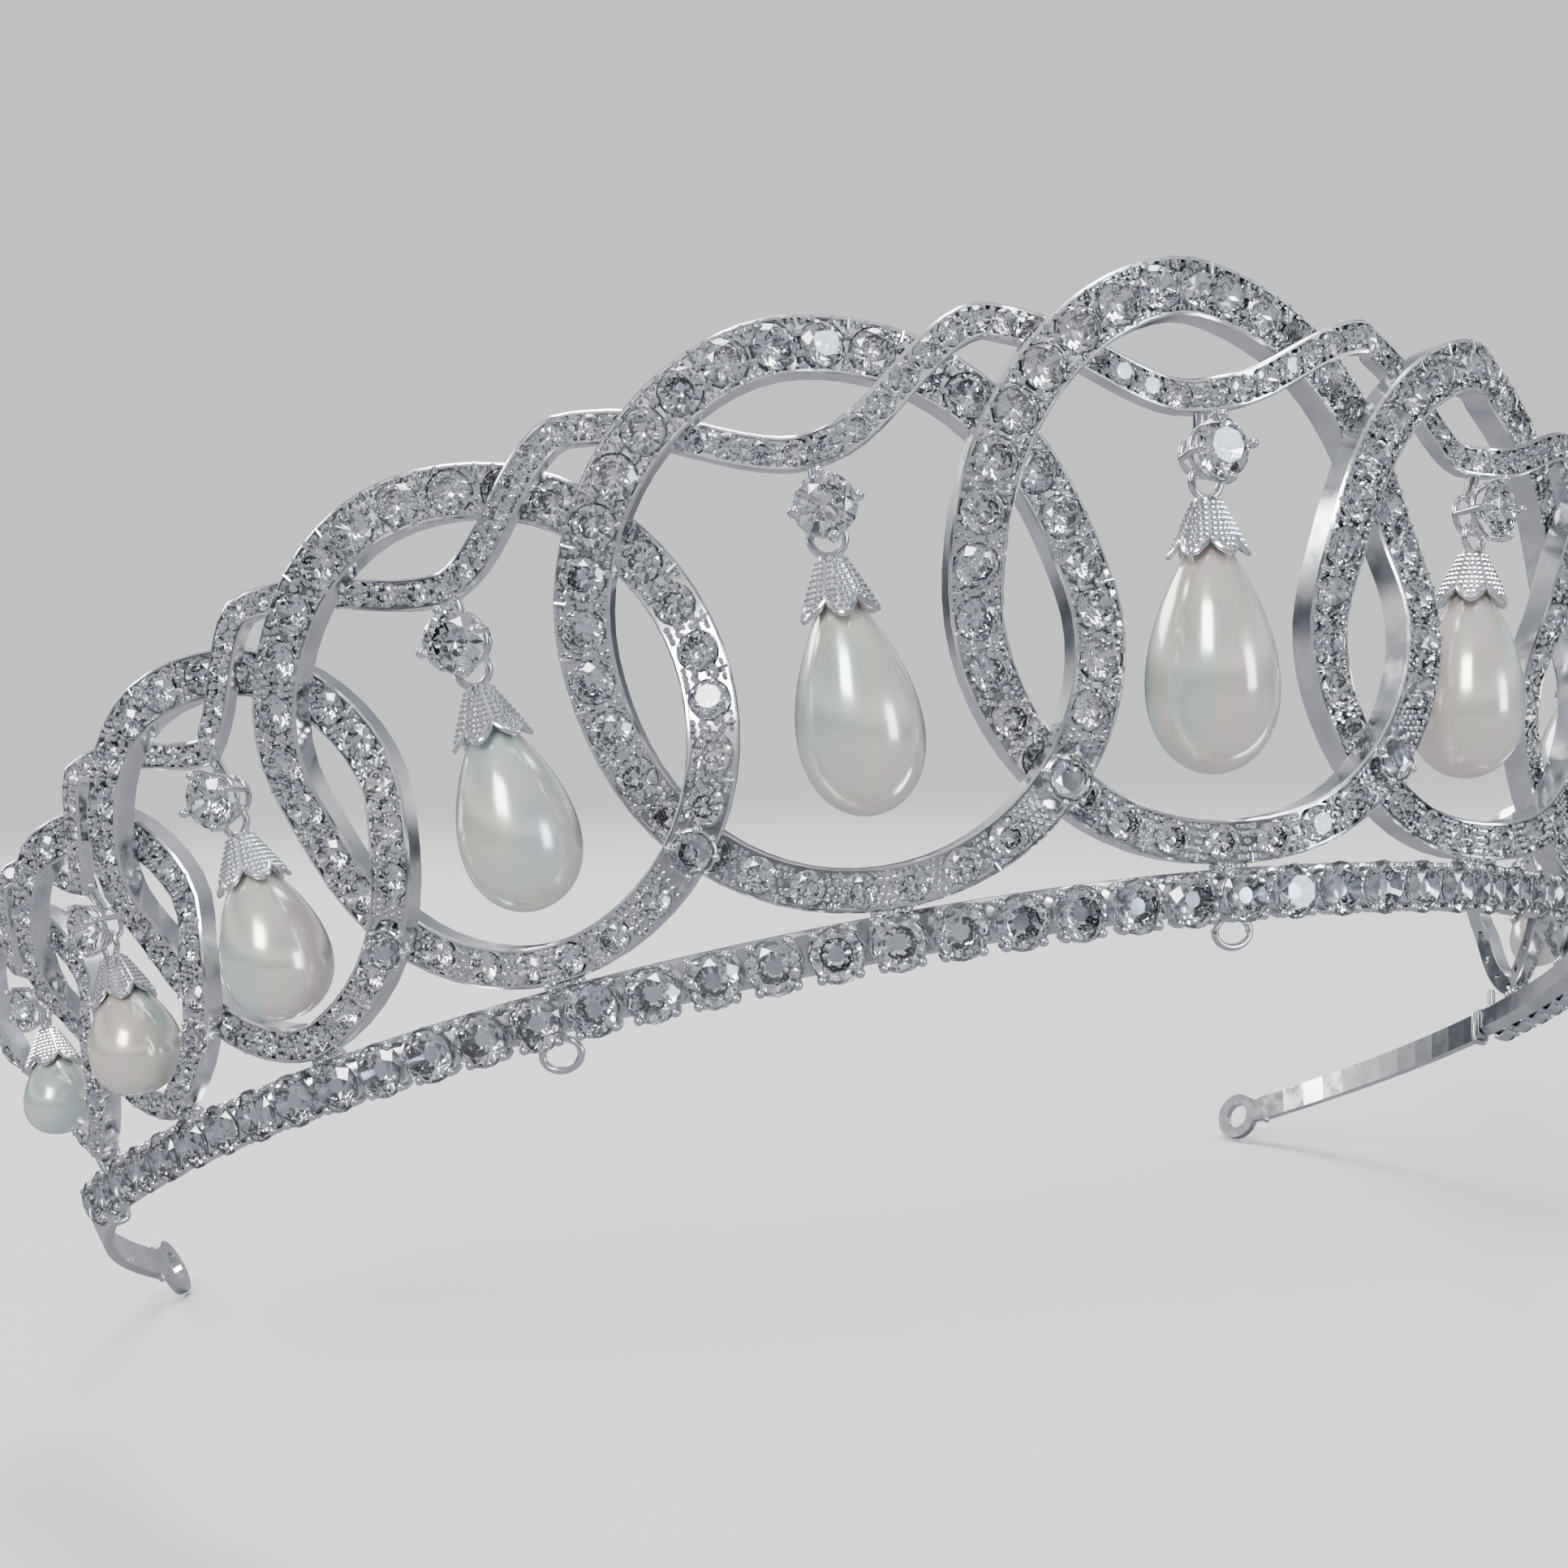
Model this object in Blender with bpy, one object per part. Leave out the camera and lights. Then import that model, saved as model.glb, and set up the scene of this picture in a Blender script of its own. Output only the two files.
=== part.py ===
"""Bridal tiara: interlaced oval rings on a stone-set band, with eleven swinging pearl drops.

Everything is laid out flat first, in millimetres: "along" runs round the band (0 at the
front, positive to the right), "height" runs up the leaning wall and "out" is square to it.
wall_point wraps that layout onto the cone and tips it to the angle at which it is worn.
The origin is the centre of the band's circle, at the middle of the band's height.
"""
import math

import bmesh
import bpy
from mathutils import Matrix, Vector

MM = 0.001

# The cone that carries the whole tiara
BAND_RADIUS = 77.3
WALL_LEAN = math.radians(20.15)
WEAR_TILT = math.radians(24.0)

# Ovals, from the centre outwards
RING_HEIGHTS = [43.0, 40.7, 36.6, 30.9, 25.6, 23.4]
RING_SPACING = 0.60
LAST_RING_ALONG = 100.4
RING_WIDTH_RATIO = 0.945
RING_FOOT = 2.2
RING_TOP_FACE = 4.2
RING_SIDE_FACE = 3.9
RING_BOTTOM_FACE = 3.1
RING_DEPTH = 2.2
WEAVE_SHARPNESS = 2.2
WEAVE_GAP = 0.7
RING_STEPS = 34

# Ribbon that waves through the ovals
RIBBON_TROUGH = 0.775
RIBBON_CLEAR = 2.75
RIBBON_WIDTH = 2.5
RIBBON_DEPTH = 1.4
RIBBON_RISE = 0.85
RIBBON_STEPS = 6
RIBBON_START = 6.6
RIBBON_END = 6.0

# Band, its stones and what is fixed to it
BAND_END = 107.2
BAND_TOP = 1.85
BAND_BOTTOM = -1.75
BAND_BACK = -1.3
BAND_STEPS = 60
BAND_STONE_PITCH = 4.2
BAND_STONE_RADIUS = 1.9
STRAP_HEIGHT = 3.2
STRAP_DEPTH = 0.9
STRAP_OUT = -0.85
EYELET_ALONG = 154.0
EYELET_RADIUS = 3.1
EYELET_HOLE_RADIUS = 1.7
EYELET_STEPS = 20
POST_ALONG = 105.6
POST_ROOT = 0.4
POST_HALF_WIDTH = 0.4
POST_BACK = -1.2
POST_FRONT = -0.4
HAIRPIN_ALONGS = [-50.0, 0.0, 50.0]
HAIRPIN_HALF_WIDTH = 1.45
HAIRPIN_HALF_HEIGHT = 1.1
HAIRPIN_WIRE_RADIUS = 0.28
HAIRPIN_DROP = 0.9
HAIRPIN_INSET = 0.55
HAIRPIN_STEPS = 14

# Drops, from the centre outwards
DROP_STONE_RADII = [2.1, 2.1, 2.1, 1.95, 1.8, 1.65]
DROP_LENGTHS = [20.9, 19.1, 17.2, 15.1, 12.1, 9.8]
PEARL_RADII = [4.75, 4.4, 4.2, 3.95, 3.5, 2.8]
CAP_SCALES = [1.0, 1.0, 0.97, 0.94, 0.91, 0.82]
STANDARD_STONE = 2.1
LOOP_MID_RADIUS = 1.2
LOOP_WIRE_RADIUS = 0.28
HINGE_BELOW_STONE = 0.76
LOOP_SUNK = 0.3
PRONG_TURN = math.radians(5.0)
CLAW_NARROWING = 0.75
GALLERY_SIDES = 12
GALLERY_INNER = 1.15
GALLERY_OUTER = 1.6
GALLERY_BACK = -1.05
GALLERY_FRONT = -0.65
SETTING_CLEAR = 0.75
STONE_SEAT = 2.15
CLAW_PATH = [(1.62, 0.0), (2.62, 2.0), (2.62, 2.9), (2.2, 3.15)]
# Bell cap as (radius, drop) from its top: outside, flared tip, inside and peg
CAP_PROFILE = [
    (0.0, 0.0), (0.9, 0.0), (1.1, 0.7), (1.75, 2.5), (2.75, 4.1),
    (2.5, 4.15), (1.5, 2.7), (0.85, 1.1), (0.42, 1.1), (0.42, 3.6), (0.0, 3.6)]
CAP_CEILING = 1.1
PEG_RADIUS = 0.42
BORE_DEPTH = 3.0
PEARL_STEPS = 11
GAP = 0.32

RHODIUM = ((0.80, 0.81, 0.83), 0.12, 1.0)
STONE = ((0.93, 0.95, 0.98), 0.03, 0.0)
PEARL = ((0.90, 0.89, 0.85), 0.22, 0.0)


# ---------------------------------------------------------------- layout

def tipped(vector):
    """Turn a vector from the band's own frame to the worn attitude, front raised."""
    return Matrix.Rotation(-WEAR_TILT, 3, "X") @ vector


def wall_point(along, height, out):
    """World position, in metres, of a point given in the flat layout."""
    turn = along / BAND_RADIUS
    radius = BAND_RADIUS + height * math.sin(WALL_LEAN) + out * math.cos(WALL_LEAN)
    level = height * math.cos(WALL_LEAN) - out * math.sin(WALL_LEAN)
    return tipped(Vector((radius * math.sin(turn), -radius * math.cos(turn), level))) * MM


def wall_axes(along):
    """Unit vectors along the band, up the wall and square out of it."""
    turn = along / BAND_RADIUS
    radial = Vector((math.sin(turn), -math.cos(turn), 0.0))
    tangent = Vector((math.cos(turn), math.sin(turn), 0.0))
    up = radial * math.sin(WALL_LEAN) + Vector((0.0, 0.0, math.cos(WALL_LEAN)))
    outward = radial * math.cos(WALL_LEAN) - Vector((0.0, 0.0, math.sin(WALL_LEAN)))
    return tipped(tangent), tipped(up), tipped(outward)


def stretch(height):
    """How much longer the wall is at this height than at the band, for the same turn."""
    return 1.0 + height * math.sin(WALL_LEAN) / BAND_RADIUS


def frame_matrix(origin, x_axis, y_axis, z_axis):
    """Placement with its origin in metres and its local units in millimetres."""
    turned = Matrix((x_axis, y_axis, z_axis)).transposed().to_4x4()
    return Matrix.Translation(origin) @ turned


def ring_layout():
    """Place along the band and height of each oval, from the far left to the far right."""
    alongs = [0.0]
    for low, high in zip(RING_HEIGHTS[1:-1], RING_HEIGHTS):
        alongs.append(alongs[-1] + RING_SPACING * (low + high) / 2)
    alongs.append(LAST_RING_ALONG)
    right = list(enumerate(zip(alongs, RING_HEIGHTS)))
    left = [(-index, (-along, height)) for index, (along, height) in reversed(right[1:])]
    return [(index, along, height) for index, (along, height) in left + right]


def side_name(index):
    """Word for a place: center, left_1 to left_5 or right_1 to right_5, as seen from the front."""
    if index == 0:
        return "center"
    return f"{'right' if index > 0 else 'left'}_{abs(index)}"


# ---------------------------------------------------------------- mesh tools

def face_outwards(builder):
    """Point every face of one closed solid outwards."""
    bmesh.ops.recalc_face_normals(builder, faces=builder.faces)
    if builder.calc_volume(signed=True) < 0:
        bmesh.ops.reverse_faces(builder, faces=builder.faces)


def add_object(name, mesh_builder, finish, matrix=None, smooth_angle=40.0):
    """Make one named object from a bmesh, in metres, with its own material."""
    face_outwards(mesh_builder)
    if matrix is not None:
        bmesh.ops.scale(mesh_builder, vec=(MM, MM, MM), verts=mesh_builder.verts)
    mesh = bpy.data.meshes.new(name)
    mesh_builder.to_mesh(mesh)
    mesh_builder.free()
    mesh.shade_smooth()
    mesh.set_sharp_from_angle(angle=math.radians(smooth_angle))
    piece = bpy.data.objects.new(name, mesh)
    bpy.context.scene.collection.objects.link(piece)
    if matrix is not None:
        piece.matrix_world = matrix
    colour, roughness, metallic = finish
    material = bpy.data.materials.new(name + "_finish")
    material.use_nodes = True
    shader = material.node_tree.nodes["Principled BSDF"]
    shader.inputs["Base Color"].default_value = (*colour, 1.0)
    shader.inputs["Roughness"].default_value = roughness
    shader.inputs["Metallic"].default_value = metallic
    mesh.materials.append(material)
    return piece


def loft(builder, sections, closed):
    """Skin a row of equal sections, joined end to end or capped."""
    loops = [[builder.verts.new(point) for point in section] for section in sections]
    pairs = list(zip(loops, loops[1:]))
    if closed:
        pairs.append((loops[-1], loops[0]))
    for first, second in pairs:
        for corner in range(len(first)):
            following = (corner + 1) % len(first)
            builder.faces.new((first[corner], first[following], second[following], second[corner]))
    if not closed:
        builder.faces.new(loops[0])
        builder.faces.new(reversed(loops[-1]))


def lathe(profile, steps):
    """Turn a profile of (radius, height) points about Z, closing it on the axis."""
    builder = bmesh.new()
    points = [builder.verts.new((radius, 0.0, height)) for radius, height in profile]
    edges = [builder.edges.new(pair) for pair in zip(points, points[1:])]
    bmesh.ops.spin(
        builder, geom=points + edges, cent=(0.0, 0.0, 0.0), axis=(0.0, 0.0, 1.0),
        angle=2 * math.pi, steps=steps, use_merge=True)
    bmesh.ops.remove_doubles(builder, verts=builder.verts, dist=0.001)
    return builder


def wire_ring(builder, centre, axes, radii, wire_radius, steps, start=0.5):
    """Closed loop of six-sided wire in the plane of the two given axes."""
    first, second = axes
    normal = first.cross(second)
    sections = []
    for step in range(steps):
        turn = 2 * math.pi * (step + start) / steps
        spoke = first * radii[0] * math.cos(turn) + second * radii[1] * math.sin(turn)
        section = []
        for corner in range(6):
            angle = 2 * math.pi * corner / 6
            section.append(centre + spoke + spoke.normalized() * wire_radius * math.cos(angle)
                           + normal * wire_radius * math.sin(angle))
        sections.append(section)
    loft(builder, sections, closed=True)


def join_solid(piece, builder):
    """Unite a second solid with a piece, through a hidden operand."""
    face_outwards(builder)
    mesh = bpy.data.meshes.new(piece.name + "_joined")
    builder.to_mesh(mesh)
    builder.free()
    operand = bpy.data.objects.new(piece.name + "_joined", mesh)
    bpy.context.scene.collection.objects.link(operand)
    operand.matrix_world = piece.matrix_world
    operand.hide_render = True
    operand.display_type = "WIRE"
    union = piece.modifiers.new("union", "BOOLEAN")
    union.operation = "UNION"
    union.solver = "EXACT"
    union.object = operand


def brilliant_profile(radius):
    """Cut-stone outline: culet, girdle and table, with the girdle at height 0."""
    return [
        (0.0, -0.8 * radius),
        (0.94 * radius, -0.05 * radius),
        (radius, 0.0),
        (0.95 * radius, 0.05 * radius),
        (0.55 * radius, 0.32 * radius),
        (0.0, 0.32 * radius),
    ]


# ---------------------------------------------------------------- band

def make_base_band(rings):
    """Curved rail with a truly flat underside, its two end posts and its wire loops."""
    lean = math.tan(WALL_LEAN)
    corners = [
        (BAND_BOTTOM, 0.0),
        (BAND_TOP, 0.0),
        (BAND_TOP, BAND_BACK),
        (BAND_BOTTOM + BAND_BACK * lean, BAND_BACK),
    ]
    sections = []
    for step in range(BAND_STEPS + 1):
        along = -BAND_END + 2 * BAND_END * step / BAND_STEPS
        sections.append([wall_point(along, height, out) for height, out in corners])
    builder = bmesh.new()
    loft(builder, sections, closed=False)
    band = add_object("base_band", builder, RHODIUM)
    fittings = bmesh.new()
    add_end_posts(fittings, rings)
    add_hairpin_loops(fittings)
    join_solid(band, fittings)
    return band


def add_end_posts(builder, rings):
    """Short posts that carry the last ovals' outer halves on the band's two ends."""
    _, along, height = rings[-1]
    foot = BAND_TOP - POST_ROOT
    top = ring_outline(POST_ALONG - along, height) - 1.5 * GAP
    for sign in (-1, 1):
        sections = []
        for level in (foot, top):
            sections.append([
                wall_point(sign * POST_ALONG + across, level, out)
                for across, out in (
                    (-POST_HALF_WIDTH, POST_BACK), (POST_HALF_WIDTH, POST_BACK),
                    (POST_HALF_WIDTH, POST_FRONT), (-POST_HALF_WIDTH, POST_FRONT))])
        loft(builder, sections, closed=False)


def add_hairpin_loops(builder):
    """Small wire loops under the band, for hairpins or stitches."""
    for along in HAIRPIN_ALONGS:
        tangent, up, _ = wall_axes(along)
        centre = wall_point(along, BAND_BOTTOM - HAIRPIN_DROP, BAND_BACK + HAIRPIN_INSET)
        radii = (HAIRPIN_HALF_WIDTH * MM, HAIRPIN_HALF_HEIGHT * MM)
        wire_ring(builder, centre, (tangent, up), radii, HAIRPIN_WIRE_RADIUS * MM, HAIRPIN_STEPS)


def make_band_stones():
    """The row of round stones along the band, as one scalloped strip."""
    radius = BAND_STONE_RADIUS
    count = int(BAND_END // BAND_STONE_PITCH)
    sections = []
    for number in range(-count, count + 1):
        for part, half, crown in ((-0.48, 1.2, 1.1), (-0.2, radius, 1.8), (0.2, radius, 1.8)):
            along = (number + part) * BAND_STONE_PITCH
            sections.append([wall_point(along, level, out) for level, out in (
                (-half, GAP), (-0.6 * half, crown), (0.6 * half, crown), (half, GAP))])
    builder = bmesh.new()
    loft(builder, sections, closed=False)
    return add_object("band_stones", builder, STONE, smooth_angle=5.0)


def strap_point(side, along, height, out):
    """Like wall_point, but straight past the eyelet's edge, so that the eyelet is flat."""
    bend_end = EYELET_ALONG - EYELET_RADIUS - 1.0
    curved = min(along, bend_end)
    point = wall_point(side * curved, height, out)
    return point + wall_axes(side * curved)[0] * side * (along - curved) * MM


def make_end_strap(side, name):
    """Flat strap from the band's end to a round eyelet, drawn out of the eyelet's rim."""
    builder = bmesh.new()
    half_depth = STRAP_DEPTH / 2
    sections = []
    for step in range(EYELET_STEPS):
        turn = 2 * math.pi * (step + 0.5) / EYELET_STEPS
        section = []
        for radius, out in ((EYELET_HOLE_RADIUS, -half_depth), (EYELET_RADIUS, -half_depth),
                            (EYELET_RADIUS, half_depth), (EYELET_HOLE_RADIUS, half_depth)):
            across = EYELET_ALONG - radius * math.cos(turn)
            section.append(Vector((across, out, radius * math.sin(turn))))
        sections.append(section)
    loft(builder, sections, closed=True)
    builder.normal_update()
    rim = [face for face in builder.faces
           if face.calc_center_median().x < EYELET_ALONG - 0.85 * EYELET_RADIUS
           and abs(face.normal.y) < 0.5]
    start = BAND_END + GAP
    lengths = [EYELET_ALONG - EYELET_RADIUS - 1.5]
    pieces = 12
    lengths += [lengths[0] + (start - lengths[0]) * number / pieces for number in range(1, pieces + 1)]
    face_set = rim
    for along in lengths:
        made = bmesh.ops.extrude_face_region(builder, geom=face_set)
        verts = [item for item in made["geom"] if isinstance(item, bmesh.types.BMVert)]
        bmesh.ops.delete(builder, geom=face_set, context="FACES_ONLY")
        face_set = [item for item in made["geom"] if isinstance(item, bmesh.types.BMFace)]
        levels = sorted({round(vert.co.z, 4) for vert in verts})
        for vert in verts:
            rank = levels.index(round(vert.co.z, 4)) / (len(levels) - 1)
            vert.co.x = along
            vert.co.z = STRAP_HEIGHT * (rank - 0.5)
    for vert in builder.verts:
        vert.co = strap_point(side, vert.co.x, vert.co.z, vert.co.y + STRAP_OUT)
    return add_object(name, builder, RHODIUM)


# ---------------------------------------------------------------- ovals and ribbon

def face_scale(height):
    """Smaller ovals have slightly narrower bars."""
    return 0.40 + 0.60 * height / RING_HEIGHTS[0]


def ring_outline(across, height):
    """Height of the lower outer edge of an oval, at a distance from its middle."""
    half_width = RING_WIDTH_RATIO * height / 2
    return RING_FOOT + height / 2 * (1 - math.sqrt(1 - (across / half_width) ** 2))


def weave(turn):
    """Over and under: -1 to 1 round the oval, nearly level where the bars cross."""
    return -math.tanh(WEAVE_SHARPNESS * math.sin(2 * turn)) / math.tanh(WEAVE_SHARPNESS)


def make_ring(index, along, height):
    """One oval bar, bent over and under its neighbours."""
    scale = face_scale(height)
    half_height = height / 2
    half_width = RING_WIDTH_RATIO * half_height
    depth = RING_DEPTH * scale
    offset = (depth + WEAVE_GAP) / 2
    inner_half_width = half_width - RING_SIDE_FACE * scale
    inner_half_height = half_height - (RING_TOP_FACE + RING_BOTTOM_FACE) / 2 * scale
    inner_centre = RING_FOOT + half_height - (RING_TOP_FACE - RING_BOTTOM_FACE) / 2 * scale
    sections = []
    for step in range(RING_STEPS):
        turn = 2 * math.pi * (step + 0.5) / RING_STEPS
        middle = offset * weave(turn)
        outer = (half_width * math.cos(turn), RING_FOOT + half_height * (1 + math.sin(turn)))
        inner = (inner_half_width * math.cos(turn), inner_centre + inner_half_height * math.sin(turn))
        section = []
        for (across, level), out in ((outer, middle - depth / 2), (outer, middle + depth / 2),
                                     (inner, middle + depth / 2), (inner, middle - depth / 2)):
            section.append(wall_point(along + across / stretch(level), level, out))
        sections.append(section)
    builder = bmesh.new()
    loft(builder, sections, closed=True)
    return add_object("ring_" + side_name(index), builder, RHODIUM)


def upper_edge(across, height):
    """Height of the upper outer edge of an oval, at a distance from its middle."""
    half_width = RING_WIDTH_RATIO * height / 2
    return RING_FOOT + height / 2 * (1 + math.sqrt(max(0.0, 1 - (across / half_width) ** 2)))


def junction(along, height, next_along, next_height):
    """Where the upper edges of two neighbouring ovals cross, found by halving."""
    low, high = along, next_along
    for _ in range(30):
        middle = (low + high) / 2
        stretched = stretch(0.9 * height)
        near = upper_edge((middle - along) * stretched, height)
        far = upper_edge((next_along - middle) * stretched, next_height)
        if near > far:
            low = middle
        else:
            high = middle
    return middle, near


def ribbon_stations(rings):
    """Centre line of the ribbon as (along, height, out, scale), through every oval."""
    end_height = rings[0][2]
    reach = RING_SPACING * end_height
    troughs = [(rings[0][1] - reach, end_height)]
    troughs += [(along, height) for _, along, height in rings]
    troughs.append((rings[-1][1] + reach, end_height))
    stations = []
    for (along, height), (next_along, next_height) in zip(troughs, troughs[1:]):
        peak_along, crossing = junction(along, height, next_along, next_height)
        scale = face_scale((height + next_height) / 2)
        peak = crossing + RIBBON_WIDTH * scale / 2 + RIBBON_CLEAR
        for start, end, foot, sign in ((along, peak_along, height, 1),
                                       (next_along, peak_along, next_height, -1)):
            trough = RING_FOOT + RIBBON_TROUGH * foot
            half = []
            for step in range(RIBBON_STEPS):
                turn = math.pi * step / RIBBON_STEPS
                level = trough + (peak - trough) * (1 - math.cos(turn)) / 2
                lift = sign * RIBBON_RISE * math.tanh(4 * math.sin(turn))
                place = start + (end - start) * step / RIBBON_STEPS
                half.append((place, level, lift, scale))
            if sign > 0:
                stations += half
            else:
                stations.append((peak_along, peak, 0.0, scale))
                stations += reversed(half[1:])
    start = rings[0][1] - RIBBON_START
    end = rings[-1][1] + RIBBON_END
    return [station for station in stations if start < station[0] < end]


def make_ribbon(rings):
    """Flat waved ribbon, under each oval's left shoulder and over its right one."""
    stations = ribbon_stations(rings)
    sections = []
    for number, (along, level, lift, scale) in enumerate(stations):
        before = stations[max(number - 1, 0)]
        after = stations[min(number + 1, len(stations) - 1)]
        run = (after[0] - before[0]) * stretch(level)
        rise = after[1] - before[1]
        length = math.hypot(run, rise)
        side = RIBBON_WIDTH * scale / 2
        section = []
        for edge, out in ((-1, -1), (-1, 1), (1, 1), (1, -1)):
            across = -edge * side * rise / length / stretch(level)
            section.append(wall_point(along + across, level + edge * side * run / length,
                                      lift + out * RIBBON_DEPTH * scale / 2))
        sections.append(section)
    builder = bmesh.new()
    loft(builder, sections, closed=False)
    return add_object("ribbon", builder, RHODIUM)


# ---------------------------------------------------------------- drops

def setting_place(along, height, stone_radius):
    """Height on the wall of a drop's stone, hung just below the ribbon's trough."""
    ribbon_edge = RING_FOOT + RIBBON_TROUGH * height - RIBBON_WIDTH * face_scale(height) / 2
    return ribbon_edge - stone_radius - SETTING_CLEAR


def make_setting(index, along, height):
    """Four-claw basket drawn out of its gallery wire, with the bar that carries it."""
    stone_radius = DROP_STONE_RADII[abs(index)]
    scale = stone_radius / STANDARD_STONE
    level = setting_place(along, height, stone_radius)
    tangent, up, outward = wall_axes(along)
    matrix = frame_matrix(wall_point(along, level, 0.0), tangent, up, outward)
    basket = bmesh.new()
    sections = []
    for step in range(GALLERY_SIDES):
        turn = PRONG_TURN + 2 * math.pi * (step - 0.5) / GALLERY_SIDES
        section = []
        for radius, out in ((GALLERY_INNER, GALLERY_BACK), (GALLERY_OUTER, GALLERY_BACK),
                            (GALLERY_OUTER, GALLERY_FRONT), (GALLERY_INNER, GALLERY_FRONT)):
            section.append(Vector((radius * math.cos(turn), radius * math.sin(turn), out)) * scale)
        sections.append(section)
    loft(basket, sections, closed=True)
    basket.normal_update()
    claws = []
    for face in basket.faces:
        centre = face.calc_center_median()
        turn = math.atan2(centre.y, centre.x) - PRONG_TURN
        number = round(turn / (2 * math.pi / GALLERY_SIDES)) % GALLERY_SIDES
        if number % 3 == 0 and abs(centre.z - GALLERY_FRONT * scale) < 0.01:
            claws.append((number, face))
        if number == 3 and abs(math.hypot(centre.x, centre.y) - GALLERY_OUTER * scale) < 0.1:
            bar = face
    middle = (GALLERY_INNER + GALLERY_OUTER) / 2
    for number, face in claws:
        turn = PRONG_TURN + 2 * math.pi * number / GALLERY_SIDES
        direction = Vector((math.cos(turn), math.sin(turn), 0.0))
        across = Vector((-math.sin(turn), math.cos(turn), 0.0))
        reach = middle
        for radius, out in CLAW_PATH:
            face = bmesh.ops.extrude_discrete_faces(basket, faces=[face])["faces"][0]
            for vert in face.verts:
                vert.co += direction * (radius - reach) * scale
                vert.co.z = out * scale
                if reach == middle:
                    vert.co -= across * vert.co.dot(across) * (1 - CLAW_NARROWING)
            reach = radius
    ribbon_edge = RING_FOOT + RIBBON_TROUGH * height - RIBBON_WIDTH * face_scale(height) / 2
    bar = bmesh.ops.extrude_discrete_faces(basket, faces=[bar])["faces"][0]
    centre = bar.calc_center_median()
    for vert in bar.verts:
        vert.co.x -= centre.x
        vert.co.y = ribbon_edge - level - GAP
    return add_object("setting_" + side_name(index), basket, RHODIUM, matrix, smooth_angle=30.0)


def make_drop_stone(index, along, height):
    """The round stone in a basket."""
    radius = DROP_STONE_RADII[abs(index)]
    tangent, up, outward = wall_axes(along)
    level = setting_place(along, height, radius)
    seat = wall_point(along, level, STONE_SEAT * radius / STANDARD_STONE)
    matrix = frame_matrix(seat, tangent, up, outward)
    builder = lathe(brilliant_profile(radius), 8)
    return add_object("stone_" + side_name(index), builder, STONE, matrix, smooth_angle=5.0)


def drop_matrix(index, along, height):
    """Hinge of a drop: X along the hinge, Z up the line on which the drop hangs at rest."""
    radius = DROP_STONE_RADII[abs(index)]
    level = setting_place(along, height, radius) - HINGE_BELOW_STONE * radius / STANDARD_STONE
    tangent = wall_axes(along)[0]
    plumb = Vector((0.0, 0.0, 1.0))
    hang_up = (plumb - tangent * plumb.dot(tangent)).normalized()
    return frame_matrix(wall_point(along, level, 0.0), tangent, hang_up.cross(tangent), hang_up)


def cap_top(index):
    """Distance from the hinge down to the cap's top, which the loop is sunk into."""
    scale = DROP_STONE_RADII[abs(index)] / STANDARD_STONE
    return (2 * LOOP_MID_RADIUS + LOOP_WIRE_RADIUS) * scale - LOOP_SUNK


def make_drop_cap(index, matrix):
    """Bell cap with its wire loop, whose top is the hinge, and the peg for the pearl."""
    scale = CAP_SCALES[abs(index)]
    top = cap_top(index)
    builder = lathe([(radius * scale, -top - drop * scale) for radius, drop in CAP_PROFILE], 10)
    cap = add_object("drop_cap_" + side_name(index), builder, RHODIUM, matrix)
    loop_scale = DROP_STONE_RADII[abs(index)] / STANDARD_STONE * MM
    radius = LOOP_MID_RADIUS * loop_scale
    axes = (Vector((1.0, 0.0, 0.0)), Vector((0.0, 0.0, 1.0)))
    loop = bmesh.new()
    wire_ring(loop, Vector((0.0, 0.0, -radius)), axes, (radius, radius),
              LOOP_WIRE_RADIUS * loop_scale, 12)
    join_solid(cap, loop)
    return cap


def pearl_profile(index):
    """Teardrop outline with a blind drilling at its top for the peg."""
    scale = CAP_SCALES[abs(index)]
    top = cap_top(index) + CAP_CEILING * scale + GAP
    bottom = DROP_LENGTHS[abs(index)] + LOOP_MID_RADIUS * DROP_STONE_RADII[abs(index)] / STANDARD_STONE
    length = bottom - top
    bore = PEG_RADIUS * scale + GAP
    profile = [(0.0, -top - BORE_DEPTH * scale), (bore, -top - BORE_DEPTH * scale)]
    fullest = 0.786
    for step in range(PEARL_STEPS + 1):
        turn = math.pi * step / PEARL_STEPS
        radius = math.sin(turn) * math.sin(turn / 2) ** 0.9 / fullest * PEARL_RADII[abs(index)]
        drop = length * (1 - math.cos(turn)) / 2
        if radius < bore and step < PEARL_STEPS / 2:
            continue
        if len(profile) == 2:
            profile.append((bore, -top - drop))
        profile.append((radius, -top - drop))
    profile[-1] = (0.0, -top - length)
    return profile


def make_drop_pearl(index, matrix):
    """Drilled teardrop pearl."""
    builder = lathe(pearl_profile(index), 12)
    return add_object("drop_pearl_" + side_name(index), builder, PEARL, matrix)


# ---------------------------------------------------------------- assembly

def main():
    for item in list(bpy.data.objects):
        bpy.data.objects.remove(item, do_unlink=True)
    rings = ring_layout()
    make_base_band(rings)
    make_band_stones()
    make_end_strap(-1, "end_strap_left")
    make_end_strap(1, "end_strap_right")
    make_ribbon(rings)
    for index, along, height in rings:
        make_ring(index, along, height)
        make_setting(index, along, height)
        make_drop_stone(index, along, height)
        matrix = drop_matrix(index, along, height)
        make_drop_cap(index, matrix)
        make_drop_pearl(index, matrix)


main()
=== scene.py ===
import math

import bpy
import numpy as np
from mathutils import Matrix, Vector


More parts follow.
